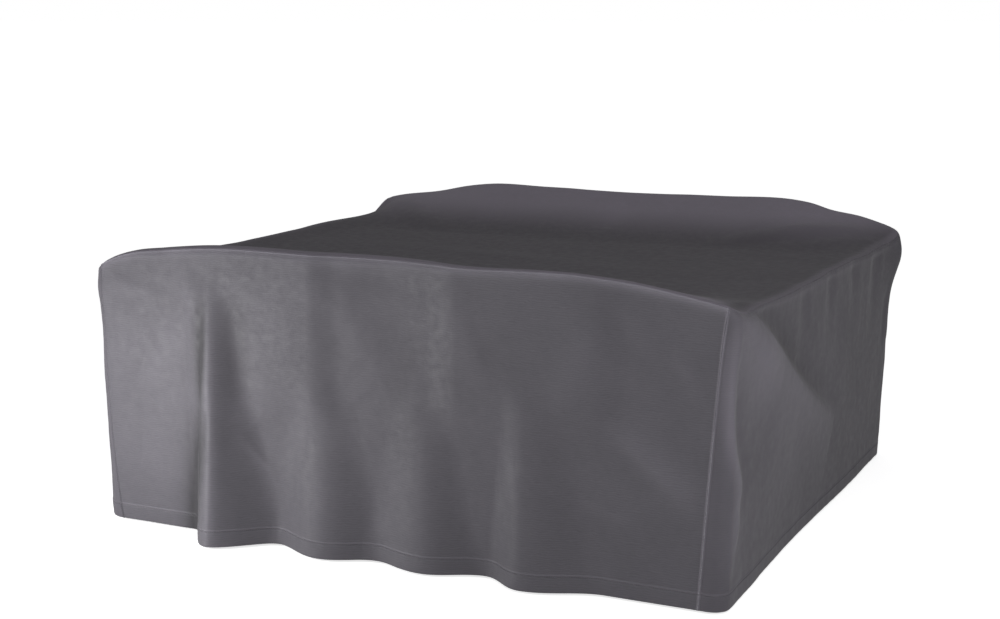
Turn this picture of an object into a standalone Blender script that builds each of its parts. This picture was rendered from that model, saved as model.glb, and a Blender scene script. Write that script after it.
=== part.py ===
# Fitted outdoor cover of five sewn panels of coated polyester, a top and four walls. It is hollow
# and open below, and has the shape in which it hangs when it is worn.
# Metres, +Z up. X runs along the front wall, Y from front to back, the hem's lowest point is at
# Z = 0, and the finished cover is centred over the origin. Every formula gives the inner face of
# the cloth; its thickness is added outward.

from collections import namedtuple

import bpy
import numpy as np

# ---------------------------------------------------------------- driving sizes
CLOTH_THICKNESS = 0.0015
HEM_THICKNESS = 0.0030       # the hem is two layers of the cloth
HEM_HEIGHT = 0.042
HEM_EDGE = 0.006             # height over which the wall thins from two layers to one
SEAM_GAP = 0.0005            # left open between panels where they are sewn together
REST_HEIGHT = 0.7255         # inside of the top where it lies level in the middle
CREST_SLOPE = 0.42           # how far in from the front and back edges the top slopes down
SIDE_SLOPE = 0.12            # the same from the left and right edges
SLOPE_POWER = 1.6            # above 1 the slope sags as hanging cloth does
CORNER_ROLL = 0.012          # radius of the rolled top edge at a corner
SHOULDER_HEIGHT = 0.69       # where a corner bulges most
SHOULDER_SPREAD = 0.085      # height over which the bulge dies out
SHOULDER_WIDTH = 0.10        # distance from the corner over which it dies out
DIP_ONSET = 0.030            # how far under the top edge a dip reaches its depth
FLUTE_TAPER = 0.45           # width of a flute where it dies out, as a share of its width at the hem
FLUTE_POWER = 1.2            # above 1 a flute's depth grows faster near the hem
PATCH_SOFTNESS = 1.6         # softness of a patch's bottom, as a share of that of its sides
SEAM_LEVEL = 1.5             # level on the roll of the seam between the walls and the top

# ---------------------------------------------------------------- tables of the drape
# Corners, counter-clockwise from the front left one, in plan: x and y under the roll of the top
# edge and at the hem, height of the crest, plan radius at the top and the hem, distance of the
# upright seam from the corner along the front or back wall at the top and the hem, the power by
# which that distance grows on the way down, and bulge.
Corner = namedtuple("Corner", "x_top y_top x_hem y_hem crest r_top r_hem seam_top seam_hem seam_bend bulge")
CORNERS = [
    Corner(-0.976, -0.856, -1.002, -0.836, 0.753, 0.035, 0.080, 0.022, 0.078, 3.2, 0.008),
    Corner(0.942, -0.868, 0.939, -0.872, 0.773, 0.024, 0.045, 0.009, 0.068, 0.75, 0.006),
    Corner(0.966, 0.882, 0.939, 0.902, 0.768, 0.035, 0.070, 0.024, 0.068, 1.4, 0.030),
    Corner(-0.973, 0.880, -0.990, 0.894, 0.785, 0.035, 0.085, 0.024, 0.072, 1.5, 0.016),
]

# Sides run from one corner to the next: front and back are placed by x, right and left by y.
FIRST_CORNER = {"front": 0, "right": 1, "back": 2, "left": 3}
PLACED_BY = {"front": 0, "right": 1, "back": 0, "left": 1}

# Top edge between the corners: place along the side, height of the crest, radius of the roll.
Edge = namedtuple("Edge", "at crest roll")
EDGES = {
    "front": [
        Edge(-0.910, 0.786, 0.015),
        Edge(-0.840, 0.806, 0.018),
        Edge(-0.740, 0.819, 0.022),
        Edge(-0.640, 0.831, 0.024),
        Edge(-0.200, 0.837, 0.024),
        Edge(0.030, 0.835, 0.022),
        Edge(0.260, 0.829, 0.015),
        Edge(0.430, 0.832, 0.013),
        Edge(0.560, 0.830, 0.012),
        Edge(0.650, 0.821, 0.012),
        Edge(0.860, 0.789, 0.011),
    ],
    "right": [
        Edge(-0.790, 0.750, 0.012),
        Edge(-0.640, 0.745, 0.012),
        Edge(-0.440, 0.738, 0.013),
        Edge(0.200, 0.739, 0.014),
        Edge(0.700, 0.736, 0.014),
        Edge(0.810, 0.744, 0.013),
    ],
    "back": [
        Edge(-0.900, 0.801, 0.016),
        Edge(-0.730, 0.824, 0.018),
        Edge(-0.620, 0.846, 0.020),
        Edge(-0.530, 0.857, 0.020),
        Edge(-0.300, 0.855, 0.020),
        Edge(0.060, 0.850, 0.018),
        Edge(0.360, 0.851, 0.020),
        Edge(0.620, 0.850, 0.020),
        Edge(0.690, 0.840, 0.018),
        Edge(0.740, 0.825, 0.018),
        Edge(0.850, 0.805, 0.015),
    ],
    "left": [
        Edge(-0.720, 0.757, 0.014),
        Edge(-0.580, 0.753, 0.014),
        Edge(-0.280, 0.741, 0.014),
        Edge(0.100, 0.739, 0.014),
        Edge(0.400, 0.744, 0.014),
        Edge(0.720, 0.741, 0.014),
        Edge(0.800, 0.744, 0.013),
    ],
}

# Flutes that open out toward the hem: place at the hem, lean per metre of height, width toward
# lower and higher x or y, depth at the hem (inward if negative), height where it dies out.
Flute = namedtuple("Flute", "at lean low_side high_side depth reach")
FLUTES = {
    "front": [
        Flute(-0.545, -0.090, 0.13, 0.20, 0.122, 0.76),
        Flute(-0.205, -0.050, 0.20, 0.20, 0.074, 0.52),
        Flute(0.110, -0.040, 0.22, 0.17, 0.060, 0.50),
        Flute(0.405, -0.030, 0.13, 0.22, 0.067, 0.54),
    ],
    "right": [
        Flute(-0.200, 0.000, 0.60, 0.70, -0.011, 0.60),
    ],
    "back": [
        Flute(-0.600, 0.040, 0.17, 0.15, 0.058, 0.56),
        Flute(-0.180, -0.050, 0.19, 0.16, 0.078, 0.62),
        Flute(0.190, 0.030, 0.16, 0.21, 0.052, 0.48),
        Flute(0.630, 0.060, 0.20, 0.14, 0.066, 0.58),
    ],
    "left": [
        Flute(-0.480, 0.040, 0.22, 0.18, 0.034, 0.50),
        Flute(-0.040, -0.030, 0.20, 0.24, 0.046, 0.58),
        Flute(0.440, 0.050, 0.24, 0.20, 0.038, 0.52),
    ],
}

# Dips that start under the top edge and die out on the way down.
Dip = namedtuple("Dip", "at lean low_side high_side depth drop")
DIPS = {
    "front": [Dip(-0.020, 0.000, 0.17, 0.17, -0.012, 0.45)],
    "right": [
        Dip(-0.230, 0.100, 0.07, 0.08, -0.009, 0.26),
        Dip(0.060, 0.060, 0.08, 0.07, -0.011, 0.24),
        Dip(0.330, 0.080, 0.08, 0.09, -0.009, 0.28),
        Dip(0.620, -0.060, 0.10, 0.09, -0.010, 0.30),
    ],
    "back": [Dip(0.010, 0.000, 0.16, 0.16, -0.013, 0.42)],
    "left": [
        Dip(-0.150, 0.080, 0.10, 0.09, -0.010, 0.27),
        Dip(0.230, -0.050, 0.09, 0.11, -0.011, 0.30),
    ],
}

# Stretches of wall that are pressed flat from inside and stand a little proud of the rest.
Patch = namedtuple("Patch", "low_end high_end bottom proud soft")
PATCHES = {
    "front": [Patch(-0.690, -0.210, 0.385, 0.014, 0.050), Patch(0.150, 0.630, 0.385, 0.014, 0.050)],
    "right": [],
    "back": [Patch(-0.640, -0.170, 0.385, 0.014, 0.050), Patch(0.200, 0.660, 0.385, 0.014, 0.050)],
    "left": [],
}

# Slanting creases in the walls, from one place and height to another.
Crease = namedtuple("Crease", "at_start z_start at_end z_end width depth")
CREASES = {
    "front": [Crease(-0.930, 0.415, -0.760, 0.625, 0.050, 0.006)],
    "right": [Crease(-0.850, 0.765, -0.480, 0.545, 0.055, 0.014)],
    "back": [Crease(0.900, 0.745, 0.700, 0.505, 0.055, 0.010)],
    "left": [
        Crease(0.860, 0.745, 0.560, 0.485, 0.060, 0.011),
        Crease(-0.840, 0.725, -0.600, 0.465, 0.060, 0.009),
    ],
}

# Folds lying in the top, from one plan point to another.
TopFold = namedtuple("TopFold", "x_start y_start x_end y_end width depth")
TOP_FOLDS = [
    TopFold(0.860, -0.760, 0.300, -0.480, 0.070, 0.010),
    TopFold(-0.880, -0.760, -0.420, -0.420, 0.075, 0.011),
    TopFold(0.880, 0.780, 0.420, 0.520, 0.070, 0.010),
    TopFold(-0.900, 0.780, -0.520, 0.480, 0.075, 0.011),
    TopFold(-0.620, 0.120, 0.250, -0.060, 0.110, 0.004),
]

# ---------------------------------------------------------------- grids of the panels
# Levels run up a wall: 0 at the hem, HEM_SHARE at the hem's stitching, 1 where the roll of the
# top edge starts, 2 on its crest. The top and the walls share their stations along the seam.
HEM_SHARE = 0.06
ROWS_ABOVE_HEM = [0.14, 0.24, 0.35, 0.47, 0.60, 0.73, 0.86, 1.0, 1.25]
TOP_COLUMNS = 20             # between the upright seams
TOP_ROWS = 20                # from the front corners to the back ones
WALL_SPLIT = 2               # columns of the front and back walls for each one of the top
CORNER_COLUMNS = 3           # columns of an end wall from its corner's middle to the upright seam
CORNER_CROWDING = 0.11       # how much the columns of an end wall draw together at its corners

# ---------------------------------------------------------------- finish
WALL_COLOUR = (0.079, 0.075, 0.085, 1.0)
TOP_COLOUR = (0.060, 0.056, 0.065, 1.0)
CLOTH_ROUGHNESS = 0.80


def lerp(a, b, share):
    """The value that lies a share of the way from a to b."""
    return a + (b - a) * share


def smooth_table(rows, x):
    """Smooth curve through (place, value) rows: a cubic Hermite with slopes from the neighbours."""
    places, values = np.array(sorted(rows)).T
    slopes = np.gradient(values, places)
    i = np.clip(np.searchsorted(places, x) - 1, 0, len(places) - 2)
    span = places[i + 1] - places[i]
    t = np.clip((x - places[i]) / span, 0.0, 1.0)
    return (
        (1 + 2 * t) * (1 - t) ** 2 * values[i]
        + t * (1 - t) ** 2 * span * slopes[i]
        + t * t * (3 - 2 * t) * values[i + 1]
        - t * t * (1 - t) * span * slopes[i + 1]
    )


def bell(offset, low_side, high_side):
    """1 at offset 0, falling as a cosine to 0 at each side's own width."""
    width = np.where(offset < 0, low_side, high_side)
    return 0.5 + 0.5 * np.cos(np.pi * np.clip(np.abs(offset) / width, 0.0, 1.0))


def ramp(value, soft):
    """0 below -soft, 1 above +soft, smooth in between."""
    t = np.clip(0.5 + 0.5 * value / soft, 0.0, 1.0)
    return t * t * (3 - 2 * t)


def beside_line(x, y, start, end, width):
    """1 on the line from start to end, falling to 0 at the width and tapering at its ends."""
    run = np.subtract(end, start)
    length = np.hypot(*run)
    ahead = ((x - start[0]) * run[0] + (y - start[1]) * run[1]) / length
    aside = ((y - start[1]) * run[0] - (x - start[0]) * run[1]) / length
    taper = np.sin(np.pi * np.clip(ahead / length, 0.0, 1.0))
    return bell(aside, width, width) * taper


def plan_corner(index, up):
    """A corner's plan point at a share of the way up from the hem to the roll."""
    corner = CORNERS[index % 4]
    x = lerp(corner.x_hem, corner.x_top, up)
    y = lerp(corner.y_hem, corner.y_top, up)
    return np.stack([x, y], axis=-1)


def heading_and_length(start, end):
    """Unit vectors from start to end, and the distances."""
    run = end - start
    length = np.linalg.norm(run, axis=-1)
    return run / length[..., None], length


def side_length(side, level):
    """Length of a side between its sharp corners."""
    up = np.minimum(level, 1.0)
    start = plan_corner(FIRST_CORNER[side], up)
    end = plan_corner(FIRST_CORNER[side] + 1, up)
    return heading_and_length(start, end)[1]


def seam_distance(index, level):
    """Distance of an upright seam from its corner, along the front or back wall."""
    corner = CORNERS[index % 4]
    down = 1 - np.minimum(level, 1.0)
    return lerp(corner.seam_top, corner.seam_hem, down ** corner.seam_bend)


def edge_rows(side, field):
    """(place, value) rows of a side's top edge, with its two corners added."""
    first = CORNERS[FIRST_CORNER[side]]
    last = CORNERS[(FIRST_CORNER[side] + 1) % 4]
    rows = [(edge.at, getattr(edge, field)) for edge in EDGES[side]]
    for corner in (first, last):
        value = corner.crest if field == "crest" else CORNER_ROLL
        rows.append((corner[PLACED_BY[side]], value))
    return rows


def wall_relief(side, at, z, crest):
    """How far the wall stands out of its flat shape, from its flutes, dips, patches and creases."""
    out = np.zeros_like(at)
    for flute in FLUTES[side]:
        remaining = np.clip(1 - z / flute.reach, 0.0, 1.0)
        spread = lerp(FLUTE_TAPER, 1.0, remaining)
        across = bell(at - flute.at - flute.lean * z, flute.low_side * spread, flute.high_side * spread)
        out += flute.depth * remaining ** FLUTE_POWER * across
    for dip in DIPS[side]:
        below = np.maximum(crest - z, 0.0)
        remaining = np.clip(1 - below / dip.drop, 0.0, 1.0)
        onset = np.clip(below / DIP_ONSET, 0.0, 1.0)
        offset = at - dip.at - dip.lean * below
        out += dip.depth * remaining * onset * bell(offset, dip.low_side, dip.high_side)
    for patch in PATCHES[side]:
        across = ramp(at - patch.low_end, patch.soft) * ramp(patch.high_end - at, patch.soft)
        out += patch.proud * across * ramp(z - patch.bottom, PATCH_SOFTNESS * patch.soft)
    for crease in CREASES[side]:
        start = (crease.at_start, crease.z_start)
        end = (crease.at_end, crease.z_end)
        out += crease.depth * beside_line(at, z, start, end, crease.width)
    return out


def ring_point(side, fraction, level, further=0.0):
    """Inner face of the cloth: fraction runs from the side's first corner to its last, level upward.

    further is a distance round the roll past the level, in metres.
    """
    fraction, level = np.broadcast_arrays(np.asarray(fraction, float), np.asarray(level, float))
    index = FIRST_CORNER[side]
    up = np.minimum(level, 1.0)
    before, start, end, after = (plan_corner(index + step, up) for step in (-1, 0, 1, 2))
    heading, length = heading_and_length(start, end)
    outward = np.stack([heading[..., 1], -heading[..., 0]], axis=-1)
    straight = lerp(start, end, fraction[..., None])
    plan = straight
    facing = outward
    bulge = np.zeros_like(fraction)

    # Each corner is an arc from its middle to the straight stretch; sign +1 is the first corner.
    for corner_index, point, neighbour, sign, gone in (
        (index, start, heading_and_length(before, start)[0], 1.0, length * fraction),
        (index + 1, end, heading_and_length(end, after)[0], -1.0, length * (1 - fraction)),
    ):
        corner = CORNERS[corner_index % 4]
        radius = lerp(corner.r_hem, corner.r_top, up)
        half_turn = np.arccos(np.clip(np.sum(heading * neighbour, axis=-1), -1.0, 1.0)) / 2
        trim = radius * np.tan(half_turn)
        angle = half_turn * np.clip(1 - gone / trim, 0.0, 1.0)
        centre = point + sign * heading * trim[..., None] - outward * radius[..., None]
        swung = outward * np.cos(angle)[..., None] - sign * heading * np.sin(angle)[..., None]
        on_arc = (gone < trim)[..., None]
        plan = np.where(on_arc, centre + swung * radius[..., None], plan)
        facing = np.where(on_arc, swung, facing)
        bulge = bulge + corner.bulge * np.exp(-(gone / SHOULDER_WIDTH) ** 2)

    at = straight[..., PLACED_BY[side]]
    crest = smooth_table(edge_rows(side, "crest"), at)
    roll = smooth_table(edge_rows(side, "roll"), at)
    turned = np.pi / 2 * np.clip(level - 1, 0.0, 1.0) + further / roll
    wall_top = crest - roll
    in_hem = HEM_HEIGHT * up / HEM_SHARE
    above_hem = lerp(HEM_HEIGHT, wall_top, (up - HEM_SHARE) / (1 - HEM_SHARE))
    wall_z = np.where(up < HEM_SHARE, in_hem, above_hem)
    z = wall_z + roll * np.sin(turned)
    rise = (z - SHOULDER_HEIGHT) / SHOULDER_SPREAD
    out = wall_relief(side, at, wall_z, crest) + bulge * np.exp(-rise ** 2)
    plan = plan + facing * (out - roll * (1 - np.cos(turned)))[..., None]
    return np.concatenate([plan, z[..., None]], axis=-1)


def wall_rows():
    """Levels of a wall's rows up to the seam with the top, and how far each stops short of it."""
    hem_rows = [0.0, HEM_SHARE, HEM_SHARE * (1 + HEM_EDGE / HEM_HEIGHT)]
    levels = np.array(hem_rows + ROWS_ABOVE_HEM + [SEAM_LEVEL])[None, :]
    return levels, np.where(levels == SEAM_LEVEL, -SEAM_GAP / 2, 0.0)


def seam_fractions(side, level, gap):
    """Where a long wall starts and ends along its side, a gap inside its upright seams."""
    length = side_length(side, level)
    first = (seam_distance(FIRST_CORNER[side], level) + gap) / length
    last = 1 - (seam_distance(FIRST_CORNER[side] + 1, level) + gap) / length
    return first, last


def crowded(count):
    """Stations along an end wall, closer together toward its corners."""
    share = np.linspace(0.0, 1.0, count + 1)
    return share - CORNER_CROWDING * np.sin(2 * np.pi * share)


def straighten_seam(grid, split):
    """Puts the top row's vertices on the chords between every split-th one, as the top has them."""
    row = grid[:, -1].copy()
    for step in range(1, split):
        grid[step::split, -1] = lerp(row[:-split:split], row[split::split], step / split)
    return grid


def long_wall(side):
    """Grid of the front or back wall, which ends at the upright seams, short of the corners."""
    levels, further = wall_rows()
    share = np.linspace(0.0, 1.0, WALL_SPLIT * TOP_COLUMNS + 1)[:, None]
    first, last = seam_fractions(side, levels, SEAM_GAP / 2)
    return straighten_seam(ring_point(side, lerp(first, last, share), levels, further), WALL_SPLIT)


def end_wall(side, side_before, side_after):
    """Grid of the right or left wall, which wraps round both its corners to the upright seams."""
    levels, further = wall_rows()
    first = seam_fractions(side_before, levels, -SEAM_GAP / 2)[1]
    last = seam_fractions(side_after, levels, -SEAM_GAP / 2)[0]
    share = np.linspace(0.0, 1.0, CORNER_COLUMNS + 1)[:, None]
    lead = ring_point(side_before, lerp(first, 1.0, share), levels, further)
    middle = ring_point(side, crowded(TOP_ROWS)[:, None], levels, further)
    tail = ring_point(side_after, last * share, levels, further)
    lead = straighten_seam(lead, CORNER_COLUMNS)
    tail = straighten_seam(tail, CORNER_COLUMNS)
    return np.concatenate([lead[:-1], middle, tail[1:]], axis=0)


def long_stations(side):
    """Stations of the top along its front or back edge: the corners, and those between the seams."""
    first, last = seam_fractions(side, 2.0, 0.0)
    between = lerp(first, last, np.linspace(0.0, 1.0, TOP_COLUMNS + 1))
    return np.concatenate([[0.0], between, [1.0]])


def top_grid():
    """Grid of the top inside its crests: a blend of its four edges, level in the middle."""
    along_front = long_stations("front")
    along_back = 1 - long_stations("back")[::-1]
    f = along_front[:, None]
    g = crowded(TOP_ROWS)[None, :]
    front = ring_point("front", along_front[:, None], 2.0)
    back = ring_point("back", 1 - along_back[:, None], 2.0)
    left = ring_point("left", 1 - g, 2.0)
    right = ring_point("right", g, 2.0)
    plan = blend_edges(front, back, left, right, 1 - g, g, 1 - f, f)[..., :2]
    x, y = plan[..., 0], plan[..., 1]

    def slope(distance, width):
        return np.clip(1 - distance / width, 0.0, 1.0) ** SLOPE_POWER

    rest = np.array([0.0, 0.0, REST_HEIGHT])
    z = REST_HEIGHT + blend_edges(
        front - rest,
        back - rest,
        left - rest,
        right - rest,
        slope(y - front[..., 1], CREST_SLOPE),
        slope(back[..., 1] - y, CREST_SLOPE),
        slope(x - left[..., 0], SIDE_SLOPE),
        slope(right[..., 0] - x, SIDE_SLOPE),
    )[..., 2]
    for fold in TOP_FOLDS:
        start = (fold.x_start, fold.y_start)
        end = (fold.x_end, fold.y_end)
        z = z + fold.depth * beside_line(x, y, start, end, fold.width)
    return np.concatenate([plan, z[..., None]], axis=-1)


def blend_edges(front, back, left, right, to_front, to_back, to_left, to_right):
    """Surface through four edge curves: each edge times its weight, less the corners counted twice."""
    weights = (to_front[..., None], to_back[..., None], to_left[..., None], to_right[..., None])
    w_front, w_back, w_left, w_right = weights
    return (
        w_front * front
        + w_back * back
        + w_left * left
        + w_right * right
        - w_front * w_left * front[:1]
        - w_front * w_right * front[-1:]
        - w_back * w_left * back[:1]
        - w_back * w_right * back[-1:]
    )


def grid_faces(columns, rows, first_vertex=0):
    """Quads of a grid of vertices numbered column by column, facing outward."""
    c, r = np.meshgrid(np.arange(columns - 1), np.arange(rows - 1), indexing="ij")
    low = first_vertex + c * rows + r
    return np.stack([low, low + rows, low + rows + 1, low + 1], axis=-1).reshape(-1, 4)


def top_mesh():
    """Vertices and faces of the top: its grid, and a strip round the roll down to the seam."""
    grid = top_grid()
    columns, rows = grid.shape[:2]
    vertices = [grid.reshape(-1, 3)]
    faces = [grid_faces(columns, rows)]
    # The crest's vertices in order round the top, with the side and stations of each stretch.
    number = np.arange(columns * rows).reshape(columns, rows)
    inner = np.concatenate([number[:-1, 0], number[-1, :-1], number[:0:-1, -1], number[0, :0:-1]])
    stretches = {
        "front": long_stations("front")[:-1],
        "right": crowded(TOP_ROWS)[:-1],
        "back": long_stations("back")[:-1],
        "left": crowded(TOP_ROWS)[:-1],
    }
    for level, further in ((lerp(SEAM_LEVEL, 2.0, 0.5), 0.0), (SEAM_LEVEL, SEAM_GAP / 2)):
        ring = [ring_point(side, stations, level, further) for side, stations in stretches.items()]
        outer = sum(len(part) for part in vertices) + np.arange(len(inner))
        vertices.append(np.concatenate(ring))
        faces.append(np.stack([outer, np.roll(outer, -1), np.roll(inner, -1), inner], axis=-1))
        inner = outer
    return np.concatenate(vertices), np.concatenate(faces)


def wall_mesh(grid):
    """Vertices and faces of a wall."""
    columns, rows = grid.shape[:2]
    return grid.reshape(-1, 3), grid_faces(columns, rows)


def cloth_material(name):
    """Plain coated polyester."""
    material = bpy.data.materials.new(name)
    material.use_nodes = True
    shader = material.node_tree.nodes["Principled BSDF"]
    shader.inputs["Base Color"].default_value = TOP_COLOUR if name == "top_panel" else WALL_COLOUR
    shader.inputs["Roughness"].default_value = CLOTH_ROUGHNESS
    shader.inputs["Metallic"].default_value = 0.0
    return material


def add_panel(collection, name, vertices, faces):
    """One panel as an open surface, thickened outward, twice as thick in its hem if it has one."""
    mesh = bpy.data.meshes.new(name)
    mesh.from_pydata(vertices.tolist(), [], faces.tolist())
    mesh.materials.append(cloth_material(name))
    mesh.shade_smooth()
    panel = bpy.data.objects.new(name, mesh)
    collection.objects.link(panel)
    shell = panel.modifiers.new("cloth", "SOLIDIFY")
    shell.offset = 1.0
    shell.use_rim = True
    in_hem = np.flatnonzero(vertices[:, 2] < HEM_HEIGHT + HEM_EDGE / 2)
    if len(in_hem) == 0:
        shell.thickness = CLOTH_THICKNESS
        return panel
    panel.vertex_groups.new(name="hem").add(in_hem.tolist(), 1.0, "REPLACE")
    shell.thickness = HEM_THICKNESS
    shell.vertex_group = "hem"
    shell.thickness_vertex_group = CLOTH_THICKNESS / HEM_THICKNESS
    return panel


def main():
    for old in list(bpy.data.objects):
        bpy.data.objects.remove(old, do_unlink=True)
    collection = bpy.data.collections.new("patio_furniture_cover")
    bpy.context.scene.collection.children.link(collection)

    panels = {
        "top_panel": top_mesh(),
        "front_panel": wall_mesh(long_wall("front")),
        "right_panel": wall_mesh(end_wall("right", "front", "back")),
        "back_panel": wall_mesh(long_wall("back")),
        "left_panel": wall_mesh(end_wall("left", "back", "front")),
    }
    everything = np.concatenate([vertices for vertices, _ in panels.values()])
    centre = (everything.min(axis=0) + everything.max(axis=0)) / 2
    to_origin = np.array([-centre[0], -centre[1], 0.0])
    for name, (vertices, faces) in panels.items():
        add_panel(collection, name, vertices + to_origin, faces)


main()
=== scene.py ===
# Looks of the fitted outdoor cover: five sewn panels of coated weave, their seams, hem and stitches.
# Plan places in the tables are measured from one point near the middle; centreShift moves them there.

from math import e, pi, radians

import bpy
import numpy as np
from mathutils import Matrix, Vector


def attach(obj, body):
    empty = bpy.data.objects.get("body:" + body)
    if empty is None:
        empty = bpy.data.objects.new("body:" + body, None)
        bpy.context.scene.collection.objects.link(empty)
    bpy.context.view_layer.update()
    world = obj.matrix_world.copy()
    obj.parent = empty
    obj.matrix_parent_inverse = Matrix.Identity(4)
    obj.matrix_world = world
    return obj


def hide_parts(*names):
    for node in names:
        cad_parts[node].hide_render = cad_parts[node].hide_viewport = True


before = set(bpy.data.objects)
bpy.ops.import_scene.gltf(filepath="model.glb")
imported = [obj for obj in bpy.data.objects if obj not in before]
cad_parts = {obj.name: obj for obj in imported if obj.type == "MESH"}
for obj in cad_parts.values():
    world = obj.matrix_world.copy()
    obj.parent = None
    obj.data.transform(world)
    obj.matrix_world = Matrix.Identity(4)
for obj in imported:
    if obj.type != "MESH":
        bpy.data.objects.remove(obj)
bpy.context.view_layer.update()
centreShift = np.array([0.02513, -0.00503, 0.0])

# Sizes that all panels share, in metres.
cover = {
    "clothThickness": 0.0015,
    "hemThickness": 0.003,       # the hem is folded over once
    "hemHeight": 0.042,
    "hemSwell": 0.001,           # how far the folded hem stands out beyond the cloth above it
    "seamGap": 0.0005,
    "restHeight": 0.7255,        # inside of the top where it lies level
    "crestSlope": 0.42,          # how far in from the front and back edges the top slopes down
    "sideSlope": 0.12,
    "slopePower": 1.6,
    "cornerRoll": 0.012,
    "shoulderHeight": 0.69,
    "shoulderSpread": 0.085,
    "shoulderWidth": 0.1,
    "dipOnset": 0.03,
    "fluteTaper": 0.45,
    "flutePower": 1.2,
    "patchSoftness": 1.6,
    "seamLevel": 1.5,            # the walls meet the top half way round its rolled edge
    "hemShare": 0.06,            # part of a wall's levels that lies in the hem
    "highlightWidth": 0.018,           # how far from the rolled edge the cloth is painted paler, as painted highlight
    "edgeWidth": 0.007,          # and how far the painted highlight is palest
    "seamHighlightWidth": 0.0036,      # the same beside an upright seam
    "foldHighlightDepth": 0.012,           # height of a fold whose ridge gets the full painted highlight
    "calmSide": 0.02,            # folds fade out at this distance from an upright seam
    "calmTop": 0.01,             # and at this one from the seam with the top
}

# Corners from the front left one, counter-clockwise: x and y under the roll, x and y at the hem, crest
# height, plan radius at the top and the hem, upright seam's distance at the top and the hem and the power
# by which it grows on the way down, bulge.
cornerFields = (
    "xTop", "yTop", "xHem", "yHem", "crest", "rTop", "rHem", "seamTop", "seamHem", "seamBend", "bulge")
cornerRows = [
    (-0.976, -0.856, -1.002, -0.836, 0.753, 0.035, 0.08, 0.022, 0.078, 3.2, 0.008),
    (0.942, -0.868, 0.939, -0.872, 0.773, 0.024, 0.045, 0.009, 0.068, 0.75, 0.006),
    (0.966, 0.882, 0.939, 0.902, 0.768, 0.035, 0.07, 0.024, 0.068, 1.4, 0.03),
    (-0.973, 0.88, -0.99, 0.894, 0.785, 0.035, 0.085, 0.024, 0.072, 1.5, 0.016),
]
corners = [dict(zip(cornerFields, row)) for row in cornerRows]
firstCorner = {"front": 0, "right": 1, "back": 2, "left": 3}
placedBy = {"front": 0, "right": 1, "back": 0, "left": 1}

# Top edge between the corners: place along the side, crest height, radius of the roll.
edgeRows = {
    "front": [
        (-0.91, 0.786, 0.015), (-0.84, 0.806, 0.018), (-0.74, 0.819, 0.022), (-0.64, 0.831, 0.024),
        (-0.2, 0.837, 0.024), (0.03, 0.835, 0.022), (0.26, 0.829, 0.015), (0.43, 0.832, 0.013),
        (0.56, 0.83, 0.012), (0.65, 0.821, 0.012), (0.86, 0.789, 0.011),
    ],
    "right": [
        (-0.79, 0.75, 0.012), (-0.64, 0.745, 0.012), (-0.44, 0.738, 0.013), (0.2, 0.739, 0.014),
        (0.7, 0.736, 0.014), (0.81, 0.744, 0.013),
    ],
    "back": [
        (-0.9, 0.801, 0.016), (-0.73, 0.824, 0.018), (-0.62, 0.846, 0.02), (-0.53, 0.857, 0.02),
        (-0.3, 0.855, 0.02), (0.06, 0.85, 0.018), (0.36, 0.851, 0.02), (0.62, 0.85, 0.02),
        (0.69, 0.84, 0.018), (0.74, 0.825, 0.018), (0.85, 0.805, 0.015),
    ],
    "left": [
        (-0.72, 0.757, 0.014), (-0.58, 0.753, 0.014), (-0.28, 0.741, 0.014), (0.1, 0.739, 0.014),
        (0.4, 0.744, 0.014), (0.72, 0.741, 0.014), (0.8, 0.744, 0.013),
    ],
}

# Flutes at the hem: place, lean per metre of height, width to each side, depth, height where they end.
fluteRows = {
    "front": [
        (-0.545, -0.09, 0.13, 0.2, 0.122, 0.76), (-0.205, -0.05, 0.2, 0.2, 0.074, 0.52),
        (0.11, -0.04, 0.22, 0.17, 0.06, 0.5), (0.405, -0.03, 0.13, 0.22, 0.067, 0.54),
    ],
    "right": [(-0.2, 0.0, 0.6, 0.7, -0.011, 0.6)],
    "back": [
        (-0.6, 0.04, 0.17, 0.15, 0.058, 0.56), (-0.18, -0.05, 0.19, 0.16, 0.078, 0.62),
        (0.19, 0.03, 0.16, 0.21, 0.052, 0.48), (0.63, 0.06, 0.2, 0.14, 0.066, 0.58),
    ],
    "left": [
        (-0.48, 0.04, 0.22, 0.18, 0.034, 0.5), (-0.04, -0.03, 0.2, 0.24, 0.046, 0.58),
        (0.44, 0.05, 0.24, 0.2, 0.038, 0.52),
    ],
}

# Dips under the top edge: place, lean, width to each side, depth, how far down they reach.
dipRows = {
    "front": [(-0.02, 0.0, 0.17, 0.17, -0.012, 0.45)],
    "right": [
        (-0.23, 0.1, 0.07, 0.08, -0.009, 0.26), (0.06, 0.06, 0.08, 0.07, -0.011, 0.24),
        (0.33, 0.08, 0.08, 0.09, -0.009, 0.28), (0.62, -0.06, 0.1, 0.09, -0.01, 0.3),
    ],
    "back": [(0.01, 0.0, 0.16, 0.16, -0.013, 0.42)],
    "left": [(-0.15, 0.08, 0.1, 0.09, -0.01, 0.27), (0.23, -0.05, 0.09, 0.11, -0.011, 0.3)],
}

# Stretches pressed out from inside: low end, high end, bottom, how proud they stand, softness.
patchRows = {
    "front": [(-0.69, -0.21, 0.385, 0.014, 0.05), (0.15, 0.63, 0.385, 0.014, 0.05)],
    "right": [],
    "back": [(-0.64, -0.17, 0.385, 0.014, 0.05), (0.2, 0.66, 0.385, 0.014, 0.05)],
    "left": [],
}

# Long slanting creases: place and height of both ends, width, depth.
creaseRows = {
    "front": [(-0.93, 0.415, -0.76, 0.625, 0.05, 0.006)],
    "right": [(-0.85, 0.765, -0.48, 0.545, 0.055, 0.014)],
    "back": [(0.9, 0.745, 0.7, 0.505, 0.055, 0.01)],
    "left": [(0.86, 0.745, 0.56, 0.485, 0.06, 0.011), (-0.84, 0.725, -0.6, 0.465, 0.06, 0.009)],
}

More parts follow.
